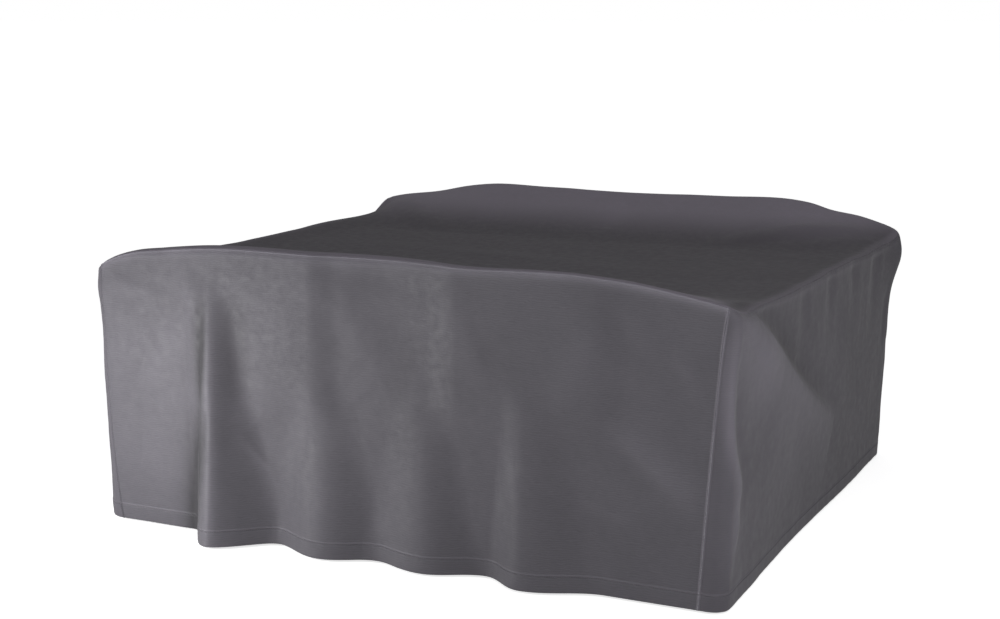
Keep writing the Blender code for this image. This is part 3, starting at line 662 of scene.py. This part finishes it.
# Top panel, placed by x and y.
topCloth = {
    "columnStep": 0.0105,
    "rowStep": 0.0105,
    # painted highlight: how much paler the rolled edge along the long sides and the ends, and the slopes up
    # to the crests, are painted
    "rubbed": {"crest": 5.0, "ends": 3.0, "slope": 8.0},
    "rubbedFrom": 0.78,          # distance from the middle at which the raised edges start
    "rubbedSoft": 0.06,
    "slopeRise": 0.045,          # height above the level middle at which the slopes get half the painted highlight
    "calmRim": 0.012,            # folds fade out at this distance from the rolled edge
    "rollLength": 0.014,         # way from the rolled edge's crest down to the seam
    "folds": [
        ([(0.93, -0.79), (0.82, -0.7), (0.64, -0.56), (0.48, -0.5)], 0.03, 0.045, 0.005, 1.6),
        ([(0.915, -0.7), (0.8, -0.56), (0.72, -0.4)], 0.024, 0.034, 0.0042, 1.6),
        ([(0.88, -0.82), (0.76, -0.76), (0.62, -0.74)], 0.024, 0.034, -0.0046, 1.6),
        ([(-0.94, -0.79), (-0.84, -0.7), (-0.66, -0.6)], 0.034, 0.03, 0.005, 1.6),
        ([(-0.93, -0.69), (-0.84, -0.54), (-0.78, -0.38)], 0.026, 0.024, 0.004, 1.6),
        ([(0.93, 0.8), (0.84, 0.74), (0.7, 0.69), (0.56, 0.68)], 0.024, 0.03, 0.006, 1.6),
        ([(0.9, 0.83), (0.8, 0.8), (0.69, 0.79)], 0.018, 0.022, -0.0046, 1.6),
        ([(0.92, 0.72), (0.82, 0.62), (0.7, 0.54)], 0.03, 0.03, 0.0046, 1.6),
        ([(-0.93, 0.8), (-0.84, 0.76), (-0.72, 0.72)], 0.024, 0.024, 0.0056, 1.6),
        ([(-0.92, 0.7), (-0.82, 0.62), (-0.72, 0.56)], 0.028, 0.026, 0.004, 1.6),
        ([(-0.56, 0.84), (-0.52, 0.72), (-0.5, 0.6)], 0.03, 0.034, 0.004, 1.7),
        ([(0.06, 0.83), (0.04, 0.72), (0.02, 0.6)], 0.04, 0.04, -0.006, 1.8),
        ([(0.62, 0.83), (0.56, 0.72), (0.52, 0.6)], 0.034, 0.03, 0.004, 1.7),
        ([(-0.66, -0.83), (-0.6, -0.7), (-0.56, -0.58)], 0.03, 0.034, 0.0044, 1.7),
        ([(-0.02, -0.82), (-0.01, -0.7), (0.01, -0.58)], 0.04, 0.04, -0.006, 1.8),
        ([(0.6, -0.83), (0.56, -0.72), (0.5, -0.62)], 0.034, 0.03, 0.004, 1.7),
        ([(-0.9, 0.1), (-0.3, 0.02), (0.3, -0.08), (0.86, -0.12)], 0.06, 0.07, 0.002, 2.0),
    ],
    # painted shade behind the near right corner, and a painted highlight (minus) beside it
    "paintedShadingLines": [
        ([(0.935, -0.846), (0.915, -0.8), (0.905, -0.72), (0.9, -0.6)], 0.016, 0.03, 0.7),
        ([(0.7, -0.79), (0.8, -0.77), (0.905, -0.74)], 0.02, 0.024, -0.7),
        ([(0.56, -0.8), (0.72, -0.745), (0.86, -0.64)], 0.024, 0.03, 0.35),
    ],
    "unevenness": [(51, 0.001, 0.2, 0.7), (52, 0.00012, 0.06, 0.14)],
}


def topPanel(name, settings):
    # A blend of the four crests, level in the middle, with 17 loops round the rolled edge down to the seam.
    f = stations(1.92, settings["columnStep"], np.linspace(0.0, 0.04, 7))[:, None]
    g = stations(1.75, settings["rowStep"], np.linspace(0.0, 0.04, 7))[None, :]
    f[0], f[-1], g[:, 0], g[:, -1] = 0.0, 1.0, 0.0, 1.0
    front, back = ringPoint("front", f, 2.0), ringPoint("back", 1 - f, 2.0)
    left, right = ringPoint("left", 1 - g, 2.0), ringPoint("right", g, 2.0)
    plan = blendEdges(front, back, left, right, 1 - g, g, 1 - f, f)[..., :2]
    x, y = plan[..., 0], plan[..., 1]

    def slope(distance, width):
        return np.clip(1 - distance / width, 0.0, 1.0) ** cover["slopePower"]

    rest = np.array([0.0, 0.0, cover["restHeight"]])
    z = cover["restHeight"] + blendEdges(
        front - rest, back - rest, left - rest, right - rest,
        slope(y - front[..., 1], cover["crestSlope"]), slope(back[..., 1] - y, cover["crestSlope"]),
        slope(x - left[..., 0], cover["sideSlope"]), slope(right[..., 0] - x, cover["sideSlope"]),
    )[..., 2]
    risen = ramp(z - cover["restHeight"] - settings["slopeRise"], settings["slopeRise"])
    for x0, y0, x1, y1, width, depth in topFoldRows:
        z = z + depth * besideLine(x, y, (x0, y0), (x1, y1), width)
    inside = np.minimum(x - left[..., 0], right[..., 0] - x)
    inside = np.minimum(inside, np.minimum(y - front[..., 1], back[..., 1] - y))
    quiet = ramp(inside - settings["calmRim"], settings["calmRim"])
    relief = np.zeros_like(z)
    for points, lowSide, highSide, depth, sharpness in settings["folds"]:
        relief += handFold(x, y, points, lowSide, highSide, depth, sharpness)
    # Painted shade, and painted highlight where a line's strength is below 0.
    shaded = np.zeros_like(z)
    for points, lowSide, highSide, strength in settings["paintedShadingLines"]:
        shaded += handFold(x, y, points, lowSide, highSide, strength)
    for seed, height, shortest, longest in settings["unevenness"]:
        relief += uneven(x, y, seed, height, shortest, longest)
    grid = np.concatenate([plan, (z + relief * quiet)[..., None]], axis=-1)
    outer = grid + normalsOf(grid) * cover["clothThickness"]
    columns, rows = outer.shape[:2]

    # Loops round the roll: the crest first, then down to the seam with the walls.
    number = np.arange(columns * rows).reshape(columns, rows)
    inner = np.concatenate([number[:-1, 0], number[-1, :-1], number[:0:-1, -1], number[0, :0:-1]])
    stretches = {"front": f[:-1, 0], "right": g[0, :-1], "back": 1 - f[:0:-1, 0], "left": 1 - g[0, :0:-1]}
    shares = rollShares[::-1]
    points, faces = [outer.reshape(-1, 3)], [gridFaces(columns, rows)]
    seamAway = [inside.ravel() + settings["rollLength"]]
    ring = np.stack([
        np.concatenate([ringPoint(side, s, 2.0 - 0.5 * (1 - share)) for side, s in stretches.items()])
        for share in np.append(1.0, shares)])
    closed = np.concatenate([ring, ring[:, :1]], axis=1)
    wrapped = np.concatenate([closed[:, -2:-1], closed, closed[:, 1:2]], axis=1)
    n = normalsOf(wrapped.transpose(1, 0, 2))[1:-2].transpose(1, 0, 2)
    n *= np.sign(np.sum(n[..., 2:3], axis=-1, keepdims=True))
    away = np.cumsum(np.linalg.norm(np.diff(ring[::-1], axis=0), axis=-1), axis=0)[::-1]
    away = np.concatenate([away, np.zeros_like(away[:1])]) + cover["seamGap"] / 2
    ring = ring + n * (cover["clothThickness"] + seamShape(away, topSeam))[..., None]
    outer.reshape(-1, 3)[inner] = ring[0]
    for step in range(1, len(ring)):
        loop = sum(len(part) for part in points) + np.arange(len(inner))
        faces.append(np.stack([loop, np.roll(loop, -1), np.roll(inner, -1), inner], axis=-1))
        points.append(ring[step])
        seamAway.append(away[step])
        inner = loop
    flat = np.concatenate(points) + centreShift
    seamAway = np.concatenate(seamAway)
    far = np.full(len(flat), 1.0)
    # Painted highlight along the rolled edge and on the slopes that rise to the crests.
    nearCrest = near(np.maximum(seamAway - settings["rollLength"], 0.0), cover["highlightWidth"])
    longEdges = ramp(np.abs(flat[:, 1]) - settings["rubbedFrom"], settings["rubbedSoft"])
    rubbed = nearCrest * between(settings["rubbed"]["ends"], settings["rubbed"]["crest"], longEdges)
    rubbed[:risen.size] = np.maximum(rubbed[:risen.size], settings["rubbed"]["slope"] * risen.ravel())
    fields = {"topSeam": seamAway, "sideSeam": far, "hemLine": far, "rubbed": rubbed, "shaded": 0 * far}
    fields["shaded"][:shaded.size] = shaded.ravel()
    print("  cloth:", name, (columns, rows), "and", len(ring) - 1, "loops")
    piece = addMesh(name, flat, np.concatenate(faces), flat[:, :2] - flat[:, :2].min(axis=0), fields)
    giveThickness(piece)
    return piece, ring[-1] + centreShift


print("stage: cloth")
topPiece, topSeamLine = topPanel("topCloth", topCloth)
frontPiece, frontGrid = longWall("frontCloth", "front", frontCloth)
rightPiece, rightGrid = endWall("rightCloth", "right", "front", "back", rightCloth)
backPiece, backGrid = longWall("backCloth", "back", backCloth)
leftPiece, leftGrid = endWall("leftCloth", "left", "back", "front", leftCloth)

# Stitches: rows of short threads, all from one small capsule.
stitching = {
    "length": 0.0046, "pitch": 0.0058, "radius": 0.00062, "bow": 0.0004, "sides": 4, "rings": 4,
    "taper": 0.92,               # how far a thread thins towards its ends
    "endsFree": 0.004,           # length of a row that is left without a stitch
    "lookAhead": 0.002,          # step by which a stitch's heading is read
}


def capsule():  # a closed rod along X that thins at its ends and bows up in its middle
    t = np.linspace(-1, 1, stitching["rings"])
    a = np.linspace(0, 2 * np.pi, stitching["sides"], endpoint=False)
    r = stitching["radius"] * np.sqrt(1 - (stitching["taper"] * t) ** 2)[:, None]
    x = 0.5 * stitching["length"] * t[:, None] + 0 * a
    lift = stitching["bow"] * (1 - t[:, None] ** 2)
    return np.stack([x, r * np.cos(a), r * np.sin(a) + lift], axis=-1)


def capsuleFaces():  # quads between the rings, with one more over each end, all facing outwards
    n, m = stitching["rings"], stitching["sides"]
    i, j = np.meshgrid(np.arange(n - 1), np.arange(m), indexing="ij")
    a, b = i * m + j, i * m + (j + 1) % m
    sides = np.stack([a, b, b + m, a + m], axis=-1).reshape(-1, 4)
    around = np.arange(m)
    return np.concatenate([sides, [around[::-1], around + (n - 1) * m]])


def stitchRow(line, facing):  # capsules spaced evenly along a line, with Z on the cloth's normal
    reached = walked(line, 0)
    count = int((reached[-1] - stitching["endsFree"]) / stitching["pitch"])
    places = (np.arange(count) + 0.5) * reached[-1] / count

    def readAt(where, rows):
        return np.stack([np.interp(where, reached, rows[:, k]) for k in range(3)], axis=-1)

    middle, up = readAt(places, line), readAt(places, facing)
    ahead = readAt(places + stitching["lookAhead"], line) - middle
    ahead /= np.linalg.norm(ahead, axis=-1, keepdims=True) + 1e-12
    side = np.cross(up, ahead)
    side /= np.linalg.norm(side, axis=-1, keepdims=True) + 1e-12
    up = np.cross(ahead, side)
    shape = capsule().reshape(-1, 3)
    axes = np.stack([ahead, side, up], axis=1)
    points = middle[:, None, :] + np.einsum("vk,nkc->nvc", shape, axes)
    n, m = stitching["rings"], stitching["sides"]
    start = np.arange(count)[:, None, None] * (n * m)
    quads = (capsuleFaces()[None] + start).reshape(-1, 4)
    return points.reshape(-1, 3), quads


def addStitches(name, rows):
    points, faces, before = [], [], 0
    for line, facing in rows:
        p, q = stitchRow(line, facing)
        points.append(p)
        faces.append(q + before)
        before += len(p)
    piece = addMesh(name, np.concatenate(points), np.concatenate(faces))
    print("  stitches:", name, sum(len(f) for f in faces))
    return piece


def hemRow(grid):  # along the grid's row at the hem's stitching
    row = int(np.argmin(np.abs(grid[len(grid) // 2, :, 2] - cover["hemHeight"])))
    return grid[:, row], normalsOf(grid)[:, row]


def topRow(grid):  # under the seam with the top, between the two rows that lie on either side of it
    toTop = walked(grid, 1)
    toTop = toTop[:, -1:] - toTop
    column = np.arange(len(grid))
    below = np.argmax(toTop <= topSeam["stitchAt"], axis=1) - 1
    share = (toTop[column, below] - topSeam["stitchAt"]) / (toTop[column, below] - toTop[column, below + 1])
    line = between(grid[column, below], grid[column, below + 1], share[:, None])
    return line, normalsOf(grid)[column, below]


def uprightRow(grid, last):  # up the column that lies in the furrow beside an upright seam
    column = int(np.argmin(np.abs(seamSteps - uprightSeam["stitchAt"])))
    column = len(grid) - 1 - column if last else column
    return grid[column], normalsOf(grid)[column]


print("stage: stitches")
allWalls = (frontGrid, rightGrid, backGrid, leftGrid)
hemThread = addStitches("hemStitches", [hemRow(grid) for grid in allWalls])
topThread = addStitches("topSeamStitches", [topRow(grid) for grid in allWalls])
uprightThread = addStitches("uprightSeamStitches", [
    uprightRow(grid, last) for grid in (rightGrid, leftGrid) for last in (False, True)])


# Materials.
def addNode(tree, kind, label="", **values):
    node = tree.nodes.new(kind)
    node.label = label
    for key, value in values.items():
        setattr(node, key, value)
    return node


def link(tree, source, target):
    tree.links.new(source, target)


def newGroup(name, inputs, outputs):
    group = bpy.data.node_groups.new(name, "ShaderNodeTree")
    for label, kind, value in inputs:
        socket = group.interface.new_socket(name=label, in_out="INPUT", socket_type=kind)
        if value is not None:
            socket.default_value = value
    for label, kind in outputs:
        group.interface.new_socket(name=label, in_out="OUTPUT", socket_type=kind)
    return group, group.nodes.new("NodeGroupInput"), group.nodes.new("NodeGroupOutput")


def mathNode(tree, operation, a, b=None, clamp=False):
    node = addNode(tree, "ShaderNodeMath", operation=operation, use_clamp=clamp)
    for socket, value in zip(node.inputs, (a, b)):
        if value is None:
            continue
        if isinstance(value, (int, float)):
            socket.default_value = value
        else:
            link(tree, value, socket)
    return node.outputs[0]


def noiseNode(tree, vector, scale, detail=2.0, roughness=0.5):
    node = addNode(tree, "ShaderNodeTexNoise", noise_dimensions="3D")
    node.inputs["Scale"].default_value = scale
    node.inputs["Detail"].default_value = detail
    node.inputs["Roughness"].default_value = roughness
    link(tree, vector, node.inputs["Vector"])
    return node.outputs["Fac"]


def mapRange(tree, value, low, high, fromRange=(0.0, 1.0), **kinds):
    node = addNode(tree, "ShaderNodeMapRange", **kinds)
    link(tree, value, node.inputs["Value"])
    for label, bound in zip(("From Min", "From Max", "To Min", "To Max"), (*fromRange, low, high)):
        node.inputs[label].default_value = bound
    return node.outputs[0]


def stretched(tree, vector, scale):
    node = addNode(tree, "ShaderNodeVectorMath", operation="MULTIPLY")
    link(tree, vector, node.inputs[0])
    node.inputs[1].default_value = scale
    return node.outputs["Vector"]


weave = {
    "weftPitch": 0.006,        # metres between the wavy weft lines that show from afar
    "waviness": 2.0,           # how far they wander, in lines
    "dashFrom": 0.28,          # noise under which a line fades out
    "dashContrast": 2.4,
    "threadsPerMetre": 550.0,  # the fine plain weave of close views
    "lineHeight": 0.4, "threadHeight": 0.16,
    "lineShade": 0.42, "threadShade": 0.06,
}


def buildWeave():
    # Wavy weft lines: sin(v / pitch + noise), broken into dashes by a long flat noise; plus a fine plain
    # weave sin(u) * sin(v) for close views. Shade and Height both run round 0.5.
    group, source, result = newGroup(
        "wovenCloth",
        [("Vector", "NodeSocketVector", None), ("Weft Pitch", "NodeSocketFloat", weave["weftPitch"]),
         ("Waviness", "NodeSocketFloat", weave["waviness"])],
        [("Shade", "NodeSocketFloat"), ("Height", "NodeSocketFloat")],
    )
    uv = source.outputs["Vector"]
    parts = addNode(group, "ShaderNodeSeparateXYZ")
    link(group, uv, parts.inputs[0])
    wander = noiseNode(group, stretched(group, uv, (38.0, 60.0, 1.0)), 1.0, 1.5)
    lines = mathNode(group, "DIVIDE", parts.outputs["Y"], source.outputs["Weft Pitch"])
    lines = mathNode(group, "ADD", lines, mathNode(group, "MULTIPLY", wander, source.outputs["Waviness"]))
    wave = mathNode(group, "SINE", mathNode(group, "MULTIPLY", lines, 2 * pi))
    dash = noiseNode(group, stretched(group, uv, (55.0, 230.0, 1.0)), 1.0, 1.0)
    dash = mathNode(group, "SUBTRACT", dash, weave["dashFrom"])
    dash = mathNode(group, "MULTIPLY", dash, weave["dashContrast"], clamp=True)
    ribs = mathNode(group, "MULTIPLY", wave, dash)
    turns = 2 * pi * weave["threadsPerMetre"]
    fineU = mathNode(group, "SINE", mathNode(group, "MULTIPLY", parts.outputs["X"], turns))
    fineV = mathNode(group, "SINE", mathNode(group, "MULTIPLY", parts.outputs["Y"], turns))
    fine = mathNode(group, "MULTIPLY", fineU, fineV)
    sums = (("Height", "lineHeight", "threadHeight"), ("Shade", "lineShade", "threadShade"))
    for label, line, thread in sums:
        broad = mathNode(group, "MULTIPLY", ribs, weave[line])
        total = mathNode(group, "ADD", broad, mathNode(group, "MULTIPLY", fine, weave[thread]))
        link(group, mathNode(group, "ADD", total, 0.5), result.inputs[label])
    return group


def buildPucker():
    # Short waves across a seam, noise along it times exp(-distance / reach).
    group, source, result = newGroup(
        "seamPucker",
        [("Vector", "NodeSocketVector", None), ("Distance", "NodeSocketFloat", 1.0),
         ("Reach", "NodeSocketFloat", 0.012)],
        [("Height", "NodeSocketFloat")],
    )
    away = mathNode(group, "ABSOLUTE", source.outputs["Distance"])
    away = mathNode(group, "DIVIDE", away, source.outputs["Reach"])
    fall = mathNode(group, "POWER", e, mathNode(group, "MULTIPLY", away, -1.0))
    ripple = noiseNode(group, source.outputs["Vector"], 1.0, 1.0)
    ripple = mathNode(group, "SUBTRACT", ripple, 0.5)
    link(group, mathNode(group, "MULTIPLY", ripple, fall), result.inputs["Height"])
    return group


def buildMottle():
    # Slow unevenness of the dye and of handling: two noises, in metres, round 0.5.
    group, source, result = newGroup(
        "clothMottle",
        [("Vector", "NodeSocketVector", None), ("Patch Size", "NodeSocketFloat", 0.22)],
        [("Shade", "NodeSocketFloat"), ("Fine", "NodeSocketFloat")],
    )
    scaled = addNode(group, "ShaderNodeVectorMath", operation="DIVIDE")
    link(group, source.outputs["Vector"], scaled.inputs[0])
    combine = addNode(group, "ShaderNodeCombineXYZ")
    for axis in range(3):
        link(group, source.outputs["Patch Size"], combine.inputs[axis])
    link(group, combine.outputs[0], scaled.inputs[1])
    big = noiseNode(group, scaled.outputs["Vector"], 1.0, 3.0)
    fine = noiseNode(group, scaled.outputs["Vector"], 9.0, 3.0, 0.6)
    link(group, big, result.inputs["Shade"])
    link(group, fine, result.inputs["Fine"])
    return group


weaveGroup, puckerGroup, mottleGroup = buildWeave(), buildPucker(), buildMottle()

wallFinish = {
    "name": "wallCloth",
    "colour": (0.079, 0.0742, 0.0862),
    "darkThread": 0.83,       # colour in the weave's furrows, as a share of the cloth's
    "lightThread": 1.17,
    "mottleRange": (0.93, 1.07),
    "rubbedPaler": 0.3,       # how much paler the painted highlight makes the rolled edge and the ridges of folds
    "highlightEven": 0.9,           # the share of the painted highlight that is everywhere
    "highlightUneven": 0.35,        # and how patchy the rest is
    "shadeDarker": 0.55,      # how much darker the cloth is painted along a shade line of strength 1, as painted shade
    "darkest": 0.66,          # and the most that it can lose
    "ribHeight": 0.00013,
    "puckerHeight": 0.0016,
    "roughness": (0.58, 0.74),
    "sheen": 0.1,
    "sheenRoughness": 0.45,
    "specular": 0.35,
}
noiseRange = (0.3, 0.7)       # the values that nearly all of a noise lies between
# The top's cloth is coloured darker than the walls': painted shade on the level top.
topFinish = dict(
    wallFinish, name="topCloth", colour=(0.062, 0.056, 0.068), darkThread=0.93, lightThread=1.07,
    ribHeight=0.00007, sheen=0.04, mottleRange=(0.98, 1.02))
endFinish = dict(
    wallFinish, name="endWallCloth", colour=(0.078, 0.0722, 0.0856), darkThread=0.91, lightThread=1.09,
    ribHeight=0.00009)
threadFinish = {"name": "seamThread", "colour": (0.125, 0.119, 0.133), "roughness": 0.62}

# Puckers at each seam: waves to the metre along u and v of the cut, and how far from the seam they reach.
puckerRows = {
    "hemLine": ((90.0, 12.0, 1.0), 0.011),
    "topSeam": ((80.0, 15.0, 1.0), 0.012),
    "sideSeam": ((12.0, 85.0, 1.0), 0.012),
}


def clothMaterial(finish):
    material = bpy.data.materials.new(finish["name"])
    material.use_nodes = True
    tree = material.node_tree
    shader = tree.nodes["Principled BSDF"]
    uv = addNode(tree, "ShaderNodeUVMap", uv_map="cut").outputs["UV"]
    objectPlace = addNode(tree, "ShaderNodeTexCoord").outputs["Object"]

    woven = addNode(tree, "ShaderNodeGroup", "weave", node_tree=weaveGroup)
    link(tree, uv, woven.inputs["Vector"])
    mottle = addNode(tree, "ShaderNodeGroup", "mottle", node_tree=mottleGroup)
    link(tree, objectPlace, mottle.inputs["Vector"])

    threadTone = mapRange(tree, woven.outputs["Shade"], finish["darkThread"], finish["lightThread"])
    patchTone = mapRange(tree, mottle.outputs["Shade"], *finish["mottleRange"], noiseRange)
    tone = mathNode(tree, "MULTIPLY", threadTone, patchTone)
    # Painted highlight: the cloth is painted paler where the mask is high, a little patchily.
    rubbed = addNode(tree, "ShaderNodeAttribute", attribute_name="rubbed")
    patchy = mathNode(tree, "SUBTRACT", mottle.outputs["Fine"], 0.5)
    patchy = mathNode(tree, "MULTIPLY", patchy, finish["highlightUneven"])
    patchy = mathNode(tree, "ADD", patchy, finish["highlightEven"])
    highlightAmount = mathNode(tree, "MULTIPLY", rubbed.outputs["Fac"], patchy)
    gained = mathNode(tree, "ADD", mathNode(tree, "MULTIPLY", highlightAmount, finish["rubbedPaler"]), 1.0)
    tone = mathNode(tree, "MULTIPLY", tone, gained)
    # Painted shade: darker along the shade lines, and painted highlight where they are below 0.
    shaded = addNode(tree, "ShaderNodeAttribute", attribute_name="shaded")
    lost = mathNode(tree, "MULTIPLY", shaded.outputs["Fac"], finish["shadeDarker"])
    lost = mathNode(tree, "MINIMUM", lost, finish["darkest"])
    tone = mathNode(tree, "MULTIPLY", tone, mathNode(tree, "SUBTRACT", 1.0, lost))

    puckers = []
    for attribute, (turn, reach) in puckerRows.items():
        away = addNode(tree, "ShaderNodeAttribute", attribute_name=attribute)
        pucker = addNode(tree, "ShaderNodeGroup", attribute, node_tree=puckerGroup)
        link(tree, stretched(tree, uv, turn), pucker.inputs["Vector"])
        link(tree, away.outputs["Fac"], pucker.inputs["Distance"])
        pucker.inputs["Reach"].default_value = reach
        puckers.append(pucker)
    pulled = mathNode(tree, "ADD", puckers[0].outputs["Height"], puckers[1].outputs["Height"])
    pulled = mathNode(tree, "ADD", pulled, puckers[2].outputs["Height"])

    colour = addNode(tree, "ShaderNodeMix", data_type="RGBA", blend_type="MULTIPLY")
    colour.inputs[0].default_value = 1.0
    colour.inputs[6].default_value = (*finish["colour"], 1.0)
    grey = addNode(tree, "ShaderNodeCombineXYZ")
    for axis in range(3):
        link(tree, tone, grey.inputs[axis])
    link(tree, grey.outputs[0], colour.inputs[7])
    link(tree, colour.outputs[2], shader.inputs["Base Color"])

    rough = mapRange(tree, mottle.outputs["Fine"], *finish["roughness"], noiseRange)
    link(tree, rough, shader.inputs["Roughness"])

    height = mathNode(tree, "ADD",
                      mathNode(tree, "MULTIPLY", woven.outputs["Height"], finish["ribHeight"]),
                      mathNode(tree, "MULTIPLY", pulled, finish["puckerHeight"]))
    bump = addNode(tree, "ShaderNodeBump")
    bump.inputs["Strength"].default_value = 1.0
    bump.inputs["Distance"].default_value = 1.0
    link(tree, height, bump.inputs["Height"])
    link(tree, bump.outputs["Normal"], shader.inputs["Normal"])
    shader.inputs["Metallic"].default_value = 0.0
    shader.inputs["Sheen Weight"].default_value = finish["sheen"]
    shader.inputs["Sheen Roughness"].default_value = finish["sheenRoughness"]
    shader.inputs["Specular IOR Level"].default_value = finish["specular"]
    return material


def threadMaterial(finish):
    material = bpy.data.materials.new(finish["name"])
    material.use_nodes = True
    tree = material.node_tree
    shader = tree.nodes["Principled BSDF"]
    place = addNode(tree, "ShaderNodeTexCoord").outputs["Object"]
    mottle = addNode(tree, "ShaderNodeGroup", "mottle", node_tree=mottleGroup)
    mottle.inputs["Patch Size"].default_value = 0.01
    link(tree, place, mottle.inputs["Vector"])
    colour = addNode(tree, "ShaderNodeMix", data_type="RGBA", blend_type="MIX")
    link(tree, mottle.outputs["Shade"], colour.inputs[0])
    colour.inputs[6].default_value = (*[0.8 * c for c in finish["colour"]], 1.0)
    colour.inputs[7].default_value = (*[1.2 * c for c in finish["colour"]], 1.0)
    link(tree, colour.outputs[2], shader.inputs["Base Color"])
    shader.inputs["Roughness"].default_value = finish["roughness"]
    return material


print("stage: materials")
for pieces, material in (
    ((topPiece,), clothMaterial(topFinish)),
    ((frontPiece, backPiece), clothMaterial(wallFinish)),
    ((rightPiece, leftPiece), clothMaterial(endFinish)),
    ((hemThread, topThread, uprightThread), threadMaterial(threadFinish)),
):
    for piece in pieces:
        piece.data.materials.append(material)

# What each piece is to the frame.
nodeOf = {
    "topCloth": "top_panel", "frontCloth": "front_panel", "rightCloth": "right_panel",
    "backCloth": "back_panel", "leftCloth": "left_panel",
}
for piece in (topPiece, frontPiece, rightPiece, backPiece, leftPiece):
    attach(piece, "root")
    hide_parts(nodeOf[piece.name])
for piece in (hemThread, topThread, uprightThread):
    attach(piece, "root")

# Floor, light and camera.
studio = {
    "floorHeight": -0.008,
    "floorReach": 600.0,
    "floorColour": (0.86, 0.86, 0.865),
    "floorRoughness": 0.9,
    "floorSpecular": 0.1,
    "floorGlow": 0.12,           # light that the floor throws up at the cloth
    "backdrop": 1.0,             # how bright the backdrop looks to the camera
    "floorLift": 0.6,            # how much brighter than its light the floor looks to the camera
    "skyHorizon": 0.06,
    "skyZenith": 0.38,
    "skyFade": (0.03, 0.55),     # heights of the sky's direction between which it brightens
}
# Each lamp: its place, the point that it faces, watts, width.
lamps = {
    "keyLeft": ((-2.1, -2.1, 0.58), (-0.5, -0.8, 0.38), 15.0, 0.9),
    "keyMiddle": ((-1.03, -1.56, 0.42), (0.35, -0.8, 0.25), 9.8, 0.4),
    "frontHigh": ((1.3, -5.2, 2.2), (0.4, -0.3, 0.6), 23.0, 0.8),
    "cornerFill": ((2.4, -2.2, 1.2), (1.0, -0.5, 0.45), 15.0, 0.7),
    "rightFill": ((2.6, -1.6, 0.9), (1.0, -0.5, 0.45), 2.5, 0.8),
    "rightSoft": ((3.2, -1.2, 1.5), (1.0, -0.3, 0.5), 4.0, 1.2),
}
print("stage: studio")


def emissionMix(tree, everywhere, seen):  # one strength for the light thrown, another for the camera
    camera = addNode(tree, "ShaderNodeLightPath").outputs["Is Camera Ray"]
    mix = addNode(tree, "ShaderNodeMix", data_type="FLOAT")
    link(tree, camera, mix.inputs[0])
    for socket, value in ((mix.inputs[2], everywhere), (mix.inputs[3], seen)):
        if isinstance(value, (int, float)):
            socket.default_value = value
        else:
            link(tree, value, socket)
    return mix.outputs[0]


reach = studio["floorReach"]
floorCorners = np.array([(-reach, -reach), (reach, -reach), (reach, reach), (-reach, reach)])
floorPoints = np.pad(floorCorners, ((0, 0), (0, 1)), constant_values=studio["floorHeight"])
floor = addMesh("floor", floorPoints, [[0, 1, 2, 3]])
floorMaterial = bpy.data.materials.new("paleFloor")
floorMaterial.use_nodes = True
floorShader = floorMaterial.node_tree.nodes["Principled BSDF"]
floorShader.inputs["Base Color"].default_value = (*studio["floorColour"], 1.0)
floorShader.inputs["Roughness"].default_value = studio["floorRoughness"]
floorShader.inputs["Specular IOR Level"].default_value = studio["floorSpecular"]
floorShader.inputs["Emission Color"].default_value = (1, 1, 1, 1)
glow = emissionMix(floorMaterial.node_tree, studio["floorGlow"], studio["floorGlow"] + studio["floorLift"])
link(floorMaterial.node_tree, glow, floorShader.inputs["Emission Strength"])
floor.data.materials.append(floorMaterial)

world = bpy.data.worlds.new("studio")
bpy.context.scene.world = world
world.use_nodes = True
sky = world.node_tree
direction = addNode(sky, "ShaderNodeTexCoord").outputs["Generated"]
parts = addNode(sky, "ShaderNodeSeparateXYZ")
link(sky, direction, parts.inputs[0])
fade = mapRange(sky, parts.outputs["Z"], studio["skyHorizon"], studio["skyZenith"], studio["skyFade"],
                interpolation_type="SMOOTHSTEP")
background = sky.nodes["Background"]
background.inputs["Color"].default_value = (1, 1, 1, 1)
link(sky, emissionMix(sky, fade, studio["backdrop"]), background.inputs["Strength"])


def addAreaLight(name, place, target, power, size):
    lamp = bpy.data.lights.new(name, "AREA")
    lamp.shape, lamp.size, lamp.energy = "DISK", size, power
    light = bpy.data.objects.new(name, lamp)
    bpy.context.scene.collection.objects.link(light)
    light.location = place
    light.rotation_euler = (Vector(target) - Vector(place)).to_track_quat("-Z", "Y").to_euler()
    light.visible_camera = False
    return light


for name, settings in lamps.items():
    addAreaLight(name, *settings)

cameraData = bpy.data.cameras.new("camera")
camera = bpy.data.objects.new("camera", cameraData)
bpy.context.scene.collection.objects.link(camera)
camera.location = (2.1331, -4.693, 1.462)
camera.rotation_euler = (radians(90 - 9.92), 0.0, radians(25.05))
cameraData.sensor_width = 36.0
cameraData.lens = 59.97
bpy.context.scene.camera = camera
bpy.context.scene.view_settings.view_transform = "Standard"
